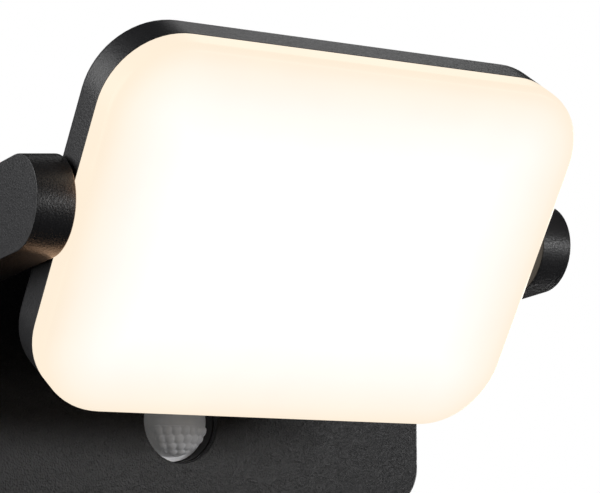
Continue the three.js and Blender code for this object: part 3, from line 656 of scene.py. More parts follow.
def lenslet_tree():
    """Raises lenslets in staggered rows on the dome, above and below a plain band."""
    tree = Growth("lenslets", {
        "Centre": "Vector", "Radius": "Float", "Rows": "Int", "Columns": "Int", "Cell": "Float",
        "Plain Band": "Float", "Rise": "Float", "Axis": "Vector", "Field": "Float",
    })
    radius, rows, columns, cell = tree["Radius"], tree["Rows"], tree["Columns"], tree["Cell"]
    index = tree.add("GeometryNodeInputIndex")
    row = index.math("FLOORED_MODULO", index, rows)
    column = index.math("FLOOR", index / rows)
    level = row.math("FLOOR", row * 0.5)
    stagger = level.math("FLOORED_MODULO", level, 2.0) * 0.5 - 0.25
    side = row.math("FLOORED_MODULO", row, 2.0) * 2.0 - 1.0
    height = (tree["Plain Band"] + (level + 0.5) * cell) * side
    turn = (column - (columns - 1) * 0.5 + stagger) * cell / height.math("COSINE", height)
    across = turn.math("SINE", turn) * turn.math("COSINE", height) * radius
    out = turn.math("COSINE", turn) * turn.math("COSINE", height) * radius * -1.0
    up = height.math("SINE", height) * radius
    centre = tree["Centre"]
    spots = tree.vector(across, out, up)
    spots = tree.add("ShaderNodeVectorMath", {"operation": "ADD"}, {0: spots, 1: centre})
    grid = tree.add("GeometryNodeMeshGrid", {}, {"Vertices X": columns, "Vertices Y": rows})
    grid = tree.add("GeometryNodeSetPosition", {}, {"Geometry": grid, "Position": spots})
    near = tree.add("GeometryNodeProximity", {"target_element": "POINTS"}, {0: grid}, out="Distance")
    spoke = tree.add("ShaderNodeVectorMath", {"operation": "SUBTRACT"}, {0: tree.position(), 1: centre})
    ray = tree.add("ShaderNodeVectorMath", {"operation": "NORMALIZE"}, {0: spoke})
    length = tree.add("ShaderNodeVectorMath", {"operation": "LENGTH"}, {0: spoke}, out="Value")
    facing_out = tree.add(
        "ShaderNodeVectorMath", {"operation": "DOT_PRODUCT"}, {0: ray, 1: tree["Axis"]}, out="Value",
    )
    on_dome = length.math("GREATER_THAN", length, radius - LENS_STEP)
    in_field = length.math("GREATER_THAN", facing_out, tree["Field"])
    off_band = length.math("GREATER_THAN", abs(tree.part(ray, 2)), height.math("SINE", tree["Plain Band"]))
    half = radius * cell * LENSLET_REACH
    bulge = (1.0 - (near / half) ** 2).at_least(0.0) * tree["Rise"] + tree["Rise"] * LENSLET_EDGE
    rise = bulge * on_dome * in_field * off_band
    offset = tree.add("ShaderNodeVectorMath", {"operation": "SCALE"}, {0: ray, "Scale": rise})
    tree.end(tree.move(tree["Geometry"], offset))
    return tree


def arc(radius, first, last, steps, lift):
    """Points on a quarter of a dome's side view, as (radius, distance)."""
    points = []
    for i in range(steps + 1):
        angle = math.radians(first + (last - first) * i / steps)
        points.append((radius * math.cos(angle), lift + radius * math.sin(angle)))
    return points


lens_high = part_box("sensor_lens")[1]
flange_front = lens_high.y - LENS_FLANGE_DEPTH
dome_centre = (sensor_middle.x, flange_front, sensor_middle.z)
lens_profile = [(0.0, LENS_FLANGE_DEPTH + LENS_RADIUS - LENS_WALL)]
lens_profile += arc(LENS_RADIUS - LENS_WALL, *HOLLOW_ARC, LENS_FLANGE_DEPTH)
lens_profile += eased([
    (LENS_RADIUS - LENS_WALL, 0.0),
    (LENS_FLANGE, 0.0),
    (LENS_FLANGE, LENS_FLANGE_DEPTH),
    (LENS_RADIUS + LENS_STEP, LENS_FLANGE_DEPTH),
], 0.0002)
lens_profile += arc(LENS_RADIUS, *DOME_ARC, LENS_FLANGE_DEPTH)
lens_profile += [(0.0, LENS_FLANGE_DEPTH + LENS_RADIUS)]
lens_origin = (sensor_middle.x, lens_high.y, sensor_middle.z)
sensor_dome = turned("sensor_dome", lens_profile, lens_origin, OUT, 240)
polythene = milky_polythene()
lenslet_tree().grow("sensor_dome", sensor_dome, polythene, {
    "Centre": dome_centre, "Radius": LENS_RADIUS, "Rows": 10, "Columns": 11, "Cell": LENSLET,
    "Plain Band": PLAIN_BAND, "Rise": LENSLET_RISE, "Axis": FIELD_AXIS, "Field": math.cos(FIELD_ANGLE),
})
fit(sensor_dome, polythene, "sensor_lens", "base", "sensor_lens", sharp=50.0)

plastic = black_abs()
cup_low, cup_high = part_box("sensor_holder")
cup_back = cup_low.y + CUP_DEPTH
cup_profile = eased([
    (CUP_INNER, CUP_SEAT / 2),
    (CUP_INNER, 0.0),
    (CUP_SLEEVE, 0.0),
    (CUP_SLEEVE, CUP_DEPTH - CUP_COLLAR_THICK),
    (CUP_COLLAR, CUP_DEPTH - CUP_COLLAR_THICK),
    (CUP_COLLAR, CUP_DEPTH),
    (CUP_POCKET, CUP_DEPTH),
    (CUP_POCKET, CUP_SEAT),
    (CUP_INNER, CUP_SEAT),
    (CUP_INNER, CUP_SEAT / 2),
], 0.0003)
cup_origin = (sensor_middle.x, cup_back, sensor_middle.z)
sensor_cup = turned("sensor_cup", cup_profile, cup_origin, OUT, 96, loop=True)
leg_length = cup_high.y - cup_low.y - CUP_COLLAR_THICK / 2
leg_profile = eased([(0.0, 0.0), (LEG_RADIUS, 0.0), (LEG_RADIUS, leg_length), (0.0, leg_length)], 0.0003)
legs = []
bores = []
for side, sign in sides:
    spot = middle(f"{side}_sensor_board_screw")
    legs.append(turned("leg", leg_profile, (spot.x, cup_high.y, spot.z), OUT, 32))
    bores.append(drill((spot.x, cup_high.y, spot.z), OUT, LEG_BORE, LEG_BORE_DEPTH))
carve(sensor_cup, legs, "UNION")
carve(sensor_cup, bores)
fit(sensor_cup, plastic, "black_plastic", "base", "sensor_holder")

dress("sensor_board", green_board)
dress("pyro_sensor", steel)
board_screw_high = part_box("left_sensor_board_screw")[1]
seat_y = board_screw_high.y - BOARD_SCREW["Head Height"]
seats = []
for side, sign in sides:
    spot = middle(f"{side}_sensor_board_screw")
    seats.append(facing(OUT).inverted() @ Vector((spot.x, seat_y, spot.z)))
board_screws = screws.grow("sensor_board_screws", seats, steel, BOARD_SCREW, facing(OUT))
fit(
    board_screws, steel, "screw_steel", "base",
    "left_sensor_board_screw", "right_sensor_board_screw", sharp=30.0,
)


# ---- Setting dials ----------------------------------------------------------------------------------
# Three moulded black knobs under the base, on the shafts of the board's potentiometers. They set how
# long the lamp stays lit, how dark it has to be and how far the sensor sees, and take a screwdriver.

DIAL_KNOB = 0.0042
DIAL_KNOB_HEIGHT = 0.0038
DIAL_SHAFT = 0.0015
DIAL_SLOT = (0.0012, 0.0066, 0.0012)
DIAL_SLOT_SINK = 0.4
DIAL_MARK = (0.0007, 0.0009, 0.004)


def box_cutter(size, centre):
    """A plain block that cuts a slot."""
    mesh = bmesh.new()
    bmesh.ops.create_cube(mesh, size=1.0)
    bmesh.ops.scale(mesh, vec=size, verts=mesh.verts)
    bmesh.ops.translate(mesh, vec=centre, verts=mesh.verts)
    data = bpy.data.meshes.new("slot")
    mesh.to_mesh(data)
    mesh.free()
    return as_object("slot", data)


for name in dials:
    low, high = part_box(f"{name}_dial")
    spot = (low + high) / 2
    knob_profile = eased([
        (0.0, 0.0),
        (DIAL_KNOB, 0.0, 0.0005),
        (DIAL_KNOB, DIAL_KNOB_HEIGHT, 0.0003),
        (DIAL_SHAFT, DIAL_KNOB_HEIGHT),
        (DIAL_SHAFT, high.z - low.z),
        (0.0, high.z - low.z),
    ], 0.0002)
    knob = turned(f"{name}_knob", knob_profile, (spot.x, spot.y, low.z), UP, 48)
    slot = box_cutter(DIAL_SLOT, (spot.x, spot.y, low.z + DIAL_SLOT[2] * DIAL_SLOT_SINK))
    mark = box_cutter(DIAL_MARK, (spot.x, spot.y - DIAL_KNOB, low.z))
    carve(knob, [slot, mark])
    fit(knob, plastic, "black_plastic", f"{name}_dial", f"{name}_dial")


# ---- Arms -------------------------------------------------------------------------------------------
# Two die-cast arms, in a finer grain of the base's powder coat. Each is hollow and open on its outer
# side, where a flat cast cover is pressed in. Two screws from inside the base hold its solid root.

ARM_WALL = 0.0025
ARM_RIM = 0.0026
ARM_END_BLOCK = 0.010
ARM_SLOPE = math.radians(5.2)
ARM_NOSE_INNER = 0.0186
ARM_NOSE_OUTER = 0.0173
ARM_ROUND = 0.0006
PARTING = 0.00003
CRISP = 0.00003
ARM_FLAT_FROM = 0.013
ARM_THREAD_DEPTH = 0.0085
NOSE_STEPS = 40
PIVOT_HOLE = 0.0053

tilt_axis = Vector(next(
    joint["pos_m"] for joint in frame["record"]["behaviour"]["joints"] if joint["name"] == "head_tilt"
))


def arm_ring(across, inset, back, inner, outer):
    """An arm's side view at one place across it: a half-round nose on the tilt axis, and straight edges."""
    share = (abs(across) - inner) / (outer - inner)
    radius = ARM_NOSE_INNER + (ARM_NOSE_OUTER - ARM_NOSE_INNER) * share - inset
    end = base_low.y - PARTING - back
    rise = Vector((math.sin(ARM_SLOPE), math.cos(ARM_SLOPE))) * radius
    nose = Vector((tilt_axis.y, tilt_axis.z))
    ring = []
    for tangent in (nose - rise, nose + rise):
        drop = (end - tangent.x) * math.tan(ARM_SLOPE)
        ring.append((across, end, tangent.y - drop))
    for i in range(NOSE_STEPS + 1):
        angle = math.pi / 2 - ARM_SLOPE + math.pi * i / NOSE_STEPS
        ring.append((across, nose.x + radius * math.cos(angle), nose.y + radius * math.sin(angle)))
    return [Vector(point) for point in ring]


def root_depth(inset):
    """How far an arm's pocket keeps back from its root, past the rim that its cover sits on."""
    past = (inset - ARM_RIM / 2) / (ARM_RIM / 2)
    return ARM_END_BLOCK * min(max(past, 0.0), 1.0) + max(inset - ARM_RIM, 0.0)


coat = powder_coat("fine_powder_coat", roughness=0.38, depth=0.00009)
for side, sign in sides:
    arm_low, arm_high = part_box(f"{side}_arm")
    cover_low, cover_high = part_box(f"{side}_arm_cover")
    inner = min(abs(arm_low.x), abs(arm_high.x))
    cover_inner, outer = sorted((abs(cover_low.x), abs(cover_high.x)))
    seat = cover_inner - PARTING
    arm_section = eased([
        (ARM_FLAT_FROM, inner),
        (0.0, inner, ARM_ROUND),
        (0.0, seat, CRISP),
        (ARM_RIM, seat, 0.0002),
        (ARM_RIM, inner + ARM_WALL, 0.0008),
        (ARM_FLAT_FROM, inner + ARM_WALL),
    ], 0.0003)
    rings = [
        arm_ring(sign * across, inset, root_depth(inset), inner, outer) for inset, across in arm_section
    ]
    arm = skin(f"{side}_arm_casting", rings)
    upper, lower = middle(f"{side}_arm_screw_upper"), middle(f"{side}_arm_screw_lower")
    root = base_low.y - PARTING
    pivot_mouth = (sign * inner, tilt_axis.y, tilt_axis.z)
    cutters = [drill(pivot_mouth, (sign, 0, 0), PIVOT_HOLE, ARM_WALL + OVERLAP)]
    for spot in (upper, lower):
        cutters.append(drill((spot.x, root, spot.z), OUT, SCREW_HOLE, ARM_THREAD_DEPTH))
    lead_mouth = (upper.x, root, (upper.z + lower.z) / 2)
    cutters.append(drill(lead_mouth, OUT, LEAD_HOLE, ARM_END_BLOCK + 2 * OVERLAP))
    carve(arm, cutters)
    fit(arm, coat, "powder_coat", "base", f"{side}_arm")

    cover_section = eased([
        (ARM_FLAT_FROM, cover_inner),
        (0.0, cover_inner, CRISP),
        (0.0, outer, 0.00025),
        (ARM_FLAT_FROM, outer),
    ], 0.0001)
    rings = [arm_ring(sign * across, inset, 0.0, inner, outer) for inset, across in cover_section]
    cover = skin(f"{side}_arm_lid", rings)
    fit(cover, coat, "powder_coat", "base", f"{side}_arm_cover")

ARM_SCREW = {"Head Radius": 0.0036, "Head Height": 0.0024, "Shank Radius": 0.002, "Length": 0.0115}
arm_screw_nodes = [f"{side}_arm_screw_{level}" for side, sign in sides for level in ("upper", "lower")]
seats = []
for node in arm_screw_nodes:
    low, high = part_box(node)
    seat_y = high.y - ARM_SCREW["Head Height"]
    seats.append(facing(OUT).inverted() @ Vector(((low.x + high.x) / 2, seat_y, (low.z + high.z) / 2)))
arm_screws = screws.grow("arm_screws", seats, steel, ARM_SCREW, facing(OUT))
fit(arm_screws, steel, "screw_steel", "base", *arm_screw_nodes, sharp=30.0)


# ---- Pivots and lead --------------------------------------------------------------------------------
# Steel tubes fixed in the head turn in the arms. A nylon washer outside each arm's inner wall and a
# spring washer and brass nut inside it hold the tilt by friction. The lamp's lead runs in the left tube.

WASHER_BORE = 0.0053
WASHER_RADIUS = 0.012
SPRING_RADIUS = 0.009
TUBE_RADIUS = 0.005
TUBE_BORE = 0.003


def turned_brass():
    brass = Finish("turned_brass", (0.60, 0.43, 0.18), 0.3, 1.0)
    turning = brass.noise(1100.0, 2.0)
    brass.set("Roughness", turning * 0.18 + 0.22)
    brass.set("Base Color", brass.mix(brass.noise(140.0, 3.0), (0.52, 0.36, 0.14), (0.68, 0.50, 0.23)))
    return brass.material


def silicone_sheath():
    sheath = Finish("silicone_sheath", (0.40, 0.38, 0.34), 0.55)
    dust = sheath.noise(300.0, 3.0)
    sheath.set("Roughness", dust * 0.2 + 0.45)
    sheath.set("Base Color", sheath.mix(dust, (0.34, 0.32, 0.28), (0.46, 0.44, 0.40)))
    return sheath.material


def collar(name, bore, radius, low, high, ease):
    """A ring about the tilt axis, between two places across the lamp."""
    profile = eased([
        (bore, (high - low) / 2),
        (bore, 0.0),
        (radius, 0.0),
        (radius, high - low),
        (bore, high - low),
        (bore, (high - low) / 2),
    ], ease)
    return turned(name, profile, (low, tilt_axis.y, tilt_axis.z), (1, 0, 0), 96, loop=True)


brass = turned_brass()
sheath = silicone_sheath()
for side, sign in sides:
    low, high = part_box(f"{side}_friction_washer")
    washer = collar(f"{side}_nylon_washer", WASHER_BORE, WASHER_RADIUS, low.x, high.x, 0.0002)
    fit(washer, plastic, "black_plastic", "base", f"{side}_friction_washer")
    low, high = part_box(f"{side}_spring_washer")
    spring = collar(f"{side}_disc_spring", WASHER_BORE, SPRING_RADIUS, low.x, high.x, 0.0001)
    fit(spring, steel, "screw_steel", "base", f"{side}_spring_washer")
    low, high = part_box(f"{side}_pivot_tube")
    tube = collar(f"{side}_hollow_pivot", TUBE_BORE, TUBE_RADIUS, low.x, high.x, 0.0002)
    fit(tube, steel, "screw_steel", "head", f"{side}_pivot_tube")
    dress(f"{side}_pivot_nut", brass)
dress("arm_lead", sheath)
dress("head_lead", sheath)


# ---- Head housing -----------------------------------------------------------------------------------
# A shallow die-cast aluminium tray, powder coated. Cooling ribs are cast on its back. Inside, bosses
# take the pivot tubes and the four long screws, and a ledge carries the gasket.

HEAD_TILT = math.radians(32.5)
HEAD_HEIGHT = 0.1437
HEAD_CORNER = 0.0291
HEAD_FRONT = -0.0195
HEAD_SEAM = -0.0072
HEAD_LEDGE = -0.0054
HEAD_BACK = 0.0075
HEAD_FLOOR = 0.0042
HEAD_RIM = 0.0025
HEAD_WALL = 0.007
BOSS_RADIUS = 0.005
REAR_SCREW = {"Head Radius": 0.004, "Head Height": 0.0015, "Shank Radius": 0.002, "Length": 0.0195}
REAR_SCREW_FROM_CORNER = 0.019
RIBS = {"Count": 13, "Pitch": 0.012, "Width": 0.0022, "Height": 0.003, "Length": 0.088}
RIB_ROOT = 0.0008
RIB_ROUND = 0.0004
RIB_TAPER = (0.35, 0.03)
PIVOT_BOSS = {"reach": 0.014, "half_height": 0.009}
PIVOT_HOLE_DEPTH = 0.012
LEAD_WAY_DEPTH = 0.016
SINK_PLAY = 0.0003
REAR_HOLE_DEPTH = 0.014

head_low, head_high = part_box("head_housing")
head_size = (head_high.x - head_low.x, HEAD_HEIGHT)
head_place = Matrix.Translation(tilt_axis) @ Matrix.Rotation(HEAD_TILT, 4, "X")


def in_head(point):
    return head_place @ Vector(point)


def head_way(direction):
    return head_place.to_3x3() @ Vector(direction)


def rib_tree():
    """A row of straight ribs, narrower at the tips, which stand towards +Y."""
    tree = Growth("ribs", {
        "Count": "Int", "Pitch": "Float", "Width": "Float", "Height": "Float", "Length": "Float",
    })
    height = tree["Height"]
    cube = tree.add(
        "GeometryNodeMeshCube", {}, {"Size": tree.vector(tree["Width"], height, tree["Length"])},
    )
    place = tree.position()
    tip = height.math("GREATER_THAN", tree.part(place, 1), 0.0)
    across, along = tree.part(place, 0) * tip, tree.part(place, 2) * tip
    narrow = tree.vector(across * -RIB_TAPER[0], height * 0.5, along * -RIB_TAPER[1])
    rib = tree.move(cube, narrow)
    step = tree.vector(tree["Pitch"])
    start = tree.vector(tree["Pitch"] * (tree["Count"] - 1) * -0.5)
    line = tree.add(
        "GeometryNodeMeshLine", {}, {"Count": tree["Count"], "Start Location": start, "Offset": step},
    )
    tree.end(tree.add("GeometryNodeInstanceOnPoints", {}, {"Points": line, "Instance": rib}))
    return tree


housing_section = eased([
    (HEAD_CORNER * FLAT_FROM, HEAD_FLOOR),
    (HEAD_WALL, HEAD_FLOOR, 0.0015),
    (HEAD_WALL, HEAD_LEDGE),
    (HEAD_RIM, HEAD_LEDGE),
    (HEAD_RIM, HEAD_SEAM),
    (0.0, HEAD_SEAM, 0.0004),
    (0.0, HEAD_BACK, 0.0026),
    (HEAD_CORNER * FLAT_FROM, HEAD_BACK),
], 0.0003)
head_tray = skin("head_tray", rect_rings(housing_section, head_size, HEAD_CORNER, head_place))

screw_reach = REAR_SCREW_FROM_CORNER * math.sqrt(0.5)
rear_screw_places = [
    (
        sign_x * (head_size[0] / 2 - HEAD_CORNER + screw_reach),
        sign_z * (head_size[1] / 2 - HEAD_CORNER + screw_reach),
    )
    for sign_x in (-1, 1) for sign_z in (-1, 1)
]
rib_sizes = {**RIBS, "Height": RIBS["Height"] + RIB_ROOT}
rib_place = head_place @ Matrix.Translation((0, HEAD_BACK - RIB_ROOT, 0))
ribs = rib_tree().grow("ribs", [(0, 0, 0)], coat, rib_sizes, rib_place)
rounding = ribs.modifiers.new("cast edges", "BEVEL")
rounding.width = RIB_ROUND
rounding.segments = 2
settle(ribs)
added = [ribs]
for x, z in rear_screw_places:
    height = HEAD_FLOOR + OVERLAP - HEAD_LEDGE
    boss_profile = eased([(0.0, 0.0), (BOSS_RADIUS, 0.0), (BOSS_RADIUS, height), (0.0, height)], 0.0003)
    added.append(turned("boss", boss_profile, in_head((x, HEAD_LEDGE, z)), head_way(IN), 40))
for side, sign in sides:
    reach = PIVOT_BOSS["reach"] - HEAD_WALL + OVERLAP
    depth = HEAD_FLOOR + OVERLAP - HEAD_LEDGE
    centre = (
        sign * (head_size[0] / 2 - PIVOT_BOSS["reach"] + reach / 2), HEAD_LEDGE + depth / 2, 0.0,
    )
    boss = box_cutter((reach, depth, 2 * PIVOT_BOSS["half_height"]), centre)
    boss.data.transform(head_place)
    added.append(boss)
carve(head_tray, added, "UNION")
cutters = []
sink_depth = REAR_SCREW["Head Height"] + SINK_PLAY
sink_radius = REAR_SCREW["Head Radius"] + SINK_PLAY
for x, z in rear_screw_places:
    cutters.append(drill(in_head((x, HEAD_BACK, z)), head_way(OUT), sink_radius, sink_depth))
    cutters.append(drill(in_head((x, HEAD_BACK, z)), head_way(OUT), SCREW_HOLE, REAR_HOLE_DEPTH, 0.0))
for side, sign in sides:
    start = in_head((sign * head_size[0] / 2, 0, 0))
    cutters.append(drill(start, (-sign, 0, 0), PIVOT_HOLE, PIVOT_HOLE_DEPTH))
    cutters.append(drill(start, (-sign, 0, 0), TUBE_BORE, LEAD_WAY_DEPTH, 0.0))
carve(head_tray, cutters)
fit(head_tray, coat, "powder_coat", "head", "head_housing")


# ---- Light source -----------------------------------------------------------------------------------
# An aluminium-core board with white solder resist, screwed to the tray's floor with four M3 screws. It
# carries 24 phosphor-coated LED chips and the lead's connector, and a white film on it sends light out.

LED_BOARD = (0.156, 0.108)
LED_CORNER = 0.012
LED_THICK = 0.0016
FILM_THICK = 0.0004
FILM_MARGIN = 0.0025
PLAY = 0.0003
LED_SCREW = {"Head Radius": 0.0028, "Head Height": 0.0018, "Shank Radius": 0.0015, "Length": 0.004}
LED_SCREW_PLACES = [(x, z) for x in (-0.070, 0.070) for z in (-0.047, 0.047)]
CHIPS = {"Columns": 6, "Rows": 4, "Pitch": 0.025}
PACKAGE = {**CHIPS, "Width": 0.0032, "Height": 0.0006}
PHOSPHOR = {**CHIPS, "Width": 0.0025, "Height": 0.0008}
CHIP_TAPER = 0.08
FILM_WINDOW = 0.005
FILM_CUT = 0.004
LED_HOLE_DEPTH = 0.003
CONNECTOR = {"size": (0.006, 0.004, 0.007), "x": -0.073, "z": 0.009}
board_front = HEAD_FLOOR - PLAY - LED_THICK


def white_resist():
    board = Finish("white_solder_resist", (0.78, 0.78, 0.75), 0.3)
    flow = board.noise(320.0, 3.0)
    board.set("Base Color", board.mix(flow, (0.74, 0.74, 0.71), (0.83, 0.83, 0.80)))
    board.set("Roughness", flow * 0.12 + 0.24)
    return board.material


def reflector_film():
    film = Finish("reflector_film", (0.88, 0.88, 0.87), 0.7)
    fibre = film.noise(1200.0, 4.0)
    film.set("Roughness", fibre * 0.2 + 0.6)
    film.bump(fibre, 0.00003, 0.4)
    return film.material


def phosphor():
    gel = Finish("phosphor_gel", (0.80, 0.58, 0.09), 0.4)
    grain = gel.noise(4000.0, 2.0)
    gel.set("Base Color", gel.mix(grain, (0.74, 0.50, 0.06), (0.86, 0.66, 0.14)))
    gel.set("Emission Color", (1.0, 0.78, 0.45, 1.0))
    gel.set("Emission Strength", 1.0)
    return gel.material


def chip_tree():
    """A grid of square blocks that stand towards -Y on the points of a grid."""
    tree = Growth("chips", {
        "Columns": "Int", "Rows": "Int", "Pitch": "Float", "Width": "Float", "Height": "Float",
    })
    height, width = tree["Height"], tree["Width"]
    cube = tree.add("GeometryNodeMeshCube", {}, {"Size": tree.vector(width, width, height)})
    place = tree.position()
    top = height.math("GREATER_THAN", tree.part(place, 2), 0.0)
    across, along = tree.part(place, 0) * top, tree.part(place, 1) * top
    taper = tree.vector(across * -CHIP_TAPER, along * -CHIP_TAPER, height * 0.5)
    chip = tree.move(cube, taper)
    grid = tree.add("GeometryNodeMeshGrid", {}, {
        "Size X": tree["Pitch"] * (tree["Columns"] - 1), "Size Y": tree["Pitch"] * (tree["Rows"] - 1),
        "Vertices X": tree["Columns"], "Vertices Y": tree["Rows"],
    })
    tree.end(tree.add("GeometryNodeInstanceOnPoints", {}, {"Points": grid, "Instance": chip}))
    return tree


def flat_sheet(name, size, corner, front, thick):
    """A flat rounded sheet in the head, with slightly eased edges."""
    middle_inset = corner * FLAT_FROM
    section = eased([
        (middle_inset, front), (0.0, front), (0.0, front + thick), (middle_inset, front + thick),
    ], thick * 0.15)
    return skin(name, rect_rings(section, size, corner, head_place))


white_board = white_resist()
led_board = flat_sheet("led_panel", LED_BOARD, LED_CORNER, board_front, LED_THICK)
width, depth, height = CONNECTOR["size"]
connector = box_cutter(
    (width, depth + LED_THICK / 2, height),
    (CONNECTOR["x"], board_front - depth / 2 + LED_THICK / 4, CONNECTOR["z"]),
)
connector.data.transform(head_place)
carve(led_board, [connector], "UNION")
led_hole = LED_SCREW["Shank Radius"] + PLAY
carve(led_board, [
    drill(in_head((x, board_front, z)), head_way(IN), led_hole, LED_HOLE_DEPTH, 0.0001)
    for x, z in LED_SCREW_PLACES
])
fit(led_board, white_board, "led_board", "head", "led_board")

chips = chip_tree()
standing = head_place @ Matrix.Translation((0, board_front, 0)) @ facing(OUT)
packages = chips.grow("led_packages", [(0, 0, 0)], white_board, PACKAGE, standing)
fit(packages, white_board, "led_board", "head")
gel = phosphor()
domes = chips.grow("led_phosphor", [(0, 0, 0)], gel, PHOSPHOR, standing)
fit(domes, gel, "led_board", "head")

film_size = (LED_BOARD[0] + 2 * FILM_MARGIN, LED_BOARD[1] + 2 * FILM_MARGIN)
film_front = board_front - PLAY - FILM_THICK
film = flat_sheet("white_film", film_size, LED_CORNER + FILM_MARGIN, film_front, FILM_THICK)
cutters = []
for column in range(CHIPS["Columns"]):
    for row in range(CHIPS["Rows"]):
        x = (column - (CHIPS["Columns"] - 1) / 2) * CHIPS["Pitch"]
        z = (row - (CHIPS["Rows"] - 1) / 2) * CHIPS["Pitch"]
        cutters.append(box_cutter((FILM_WINDOW, FILM_CUT, FILM_WINDOW), (x, film_front, z)))
connector_window = (width + 2 * PLAY, FILM_CUT, height + 2 * PLAY)
cutters.append(box_cutter(connector_window, (CONNECTOR["x"], film_front, CONNECTOR["z"])))
for cutter in cutters:
    cutter.data.transform(head_place)
film_hole = LED_SCREW["Head Radius"] + 2 * PLAY
cutters += [
    drill(in_head((x, film_front, z)), head_way(IN), film_hole, LED_HOLE_DEPTH, 0.0)
    for x, z in LED_SCREW_PLACES
]
carve(film, cutters)
fit(film, reflector_film(), "reflector_film", "head", "reflector_sheet")

seats = [facing(IN).inverted() @ Vector((x, board_front - PLAY, z)) for x, z in LED_SCREW_PLACES]
led_screws = screws.grow("led_board_screws", seats, steel, LED_SCREW, head_place @ facing(IN))
fit(led_screws, steel, "screw_steel", "head", *[f"led_board_screw_{i}" for i in range(1, 5)], sharp=30.0)


# ---- Gasket, diffuser and rear screws ---------------------------------------------------------------
# A moulded silicone gasket lies on the tray's ledge. The diffuser is one injection-moulded cap of opal
# acrylic that presses on it, drawn down by four long M4 screws from the back, and it glows all over.

GASKET_OUTER = 0.0028
GASKET_INNER = 0.0053
OPAL_WALL = 0.0025
OPAL_FLANGE = 0.0056
OPAL_FLANGE_DEPTH = 0.002
OPAL_ROUND = 0.0042
OPAL_GAP = 0.0002
BLIND_END = 0.001
GLOW_REACH = 0.070
GLOW_STRENGTH = 3.0
GLOW_STOPS = (
    (0.000, (0.330, 0.285, 0.228)),
    (0.110, (0.340, 0.307, 0.266)),
    (0.280, (0.352, 0.328, 0.306)),
    (0.480, (0.420, 0.362, 0.336)),
    (0.700, (0.600, 0.560, 0.530)),
    (1.000, (1.000, 0.960, 0.920)),
)


def white_silicone():
    rubber = Finish("white_silicone", (0.55, 0.54, 0.51), 0.5)
    rubber.set("Roughness", rubber.noise(500.0) * 0.2 + 0.4)
    rubber.set("Subsurface Weight", 0.2)
    rubber.set("Subsurface Radius", (0.002, 0.002, 0.002))
    return rubber.material


def lit_opal():
    """Opal acrylic that is brightest over the middle of the board and warmer towards its edge."""
    opal = Finish("lit_opal_acrylic", (0.02, 0.019, 0.018), 0.35)
    turned_in = {"Vector": opal.spot(), "Location": tuple(tilt_axis), "Rotation": (HEAD_TILT, 0.0, 0.0)}
    where = opal.add("ShaderNodeMapping", {"vector_type": "TEXTURE"}, turned_in)
    x = opal.add("ShaderNodeSeparateXYZ", {}, {0: where}, out=0)
    z = opal.add("ShaderNodeSeparateXYZ", {}, {0: where}, out=2)
    past_x = abs(x) - (head_size[0] / 2 - HEAD_CORNER)
    past_z = abs(z) - (head_size[1] / 2 - HEAD_CORNER)
    round_corner = (past_x.at_least(0.0) ** 2 + past_z.at_least(0.0) ** 2) ** 0.5
    straight = past_x.math("MAXIMUM", past_x, past_z).at_most(0.0)
    from_edge = HEAD_CORNER - round_corner - straight
    glow = opal.add("ShaderNodeValToRGB", {"stops": GLOW_STOPS}, {"Fac": from_edge / GLOW_REACH})
    haze = opal.noise(34.0, 2.0) * 0.05 + 0.975
    scaled = opal.add("ShaderNodeVectorMath", {"operation": "SCALE"}, {0: glow, "Scale": haze})
    opal.set("Emission Color", scaled)
    opal.set("Emission Strength", GLOW_STRENGTH)
    opal.set("Specular IOR Level", 0.08)
    return opal.material


gasket_front, gasket_back = HEAD_SEAM, HEAD_LEDGE - PLAY
gasket_middle = (gasket_front + gasket_back) / 2
head_gasket_section = eased([
    (GASKET_OUTER, gasket_middle),
    (GASKET_OUTER, gasket_front),
    (GASKET_INNER, gasket_front),
    (GASKET_INNER, gasket_back),
    (GASKET_OUTER, gasket_back),
    (GASKET_OUTER, gasket_middle),
], 0.0005)
head_seal_rings = rect_rings(head_gasket_section, head_size, HEAD_CORNER, head_place)
head_seal = skin("head_seal", head_seal_rings, loop=True)
fit(head_seal, white_silicone(), "silicone", "head", "head_gasket")

opal_rim = HEAD_SEAM - OPAL_GAP
opal_section = eased([
    (HEAD_CORNER * FLAT_FROM, HEAD_FRONT),
    (0.0, HEAD_FRONT, OPAL_ROUND),
    (0.0, opal_rim, 0.0002),
    (OPAL_FLANGE, opal_rim, 0.0002),
    (OPAL_FLANGE, opal_rim - OPAL_FLANGE_DEPTH, 0.0003),
    (OPAL_WALL, opal_rim - OPAL_FLANGE_DEPTH, 0.0003),
    (OPAL_WALL, HEAD_FRONT + OPAL_WALL, 0.002),
    (HEAD_CORNER * FLAT_FROM, HEAD_FRONT + OPAL_WALL),
], 0.0003, steps=8)
diffuser = skin("opal_diffuser", rect_rings(opal_section, head_size, HEAD_CORNER, head_place))
boss_height = opal_rim - HEAD_FRONT - OPAL_WALL / 2
boss_corners = [(0.0, 0.0), (BOSS_RADIUS, 0.0), (BOSS_RADIUS, boss_height), (0.0, boss_height)]
boss_profile = eased(boss_corners, 0.0003)
carve(diffuser, [
    turned("boss", boss_profile, in_head((x, opal_rim, z)), head_way(OUT), 40) for x, z in rear_screw_places
], "UNION")
carve(diffuser, [
    drill(in_head((x, opal_rim, z)), head_way(OUT), SCREW_HOLE, boss_height - BLIND_END)
    for x, z in rear_screw_places
])
fit(diffuser, lit_opal(), "opal_diffuser", "head", "diffuser")

rear_seat = HEAD_BACK - REAR_SCREW["Head Height"]
seats = [facing(OUT).inverted() @ Vector((x, rear_seat, z)) for x, z in rear_screw_places]
rear_screws = screws.grow("rear_screws", seats, steel, REAR_SCREW, head_place @ facing(OUT))
fit(rear_screws, steel, "screw_steel", "head", *[f"rear_screw_{i}" for i in range(1, 5)], sharp=30.0)


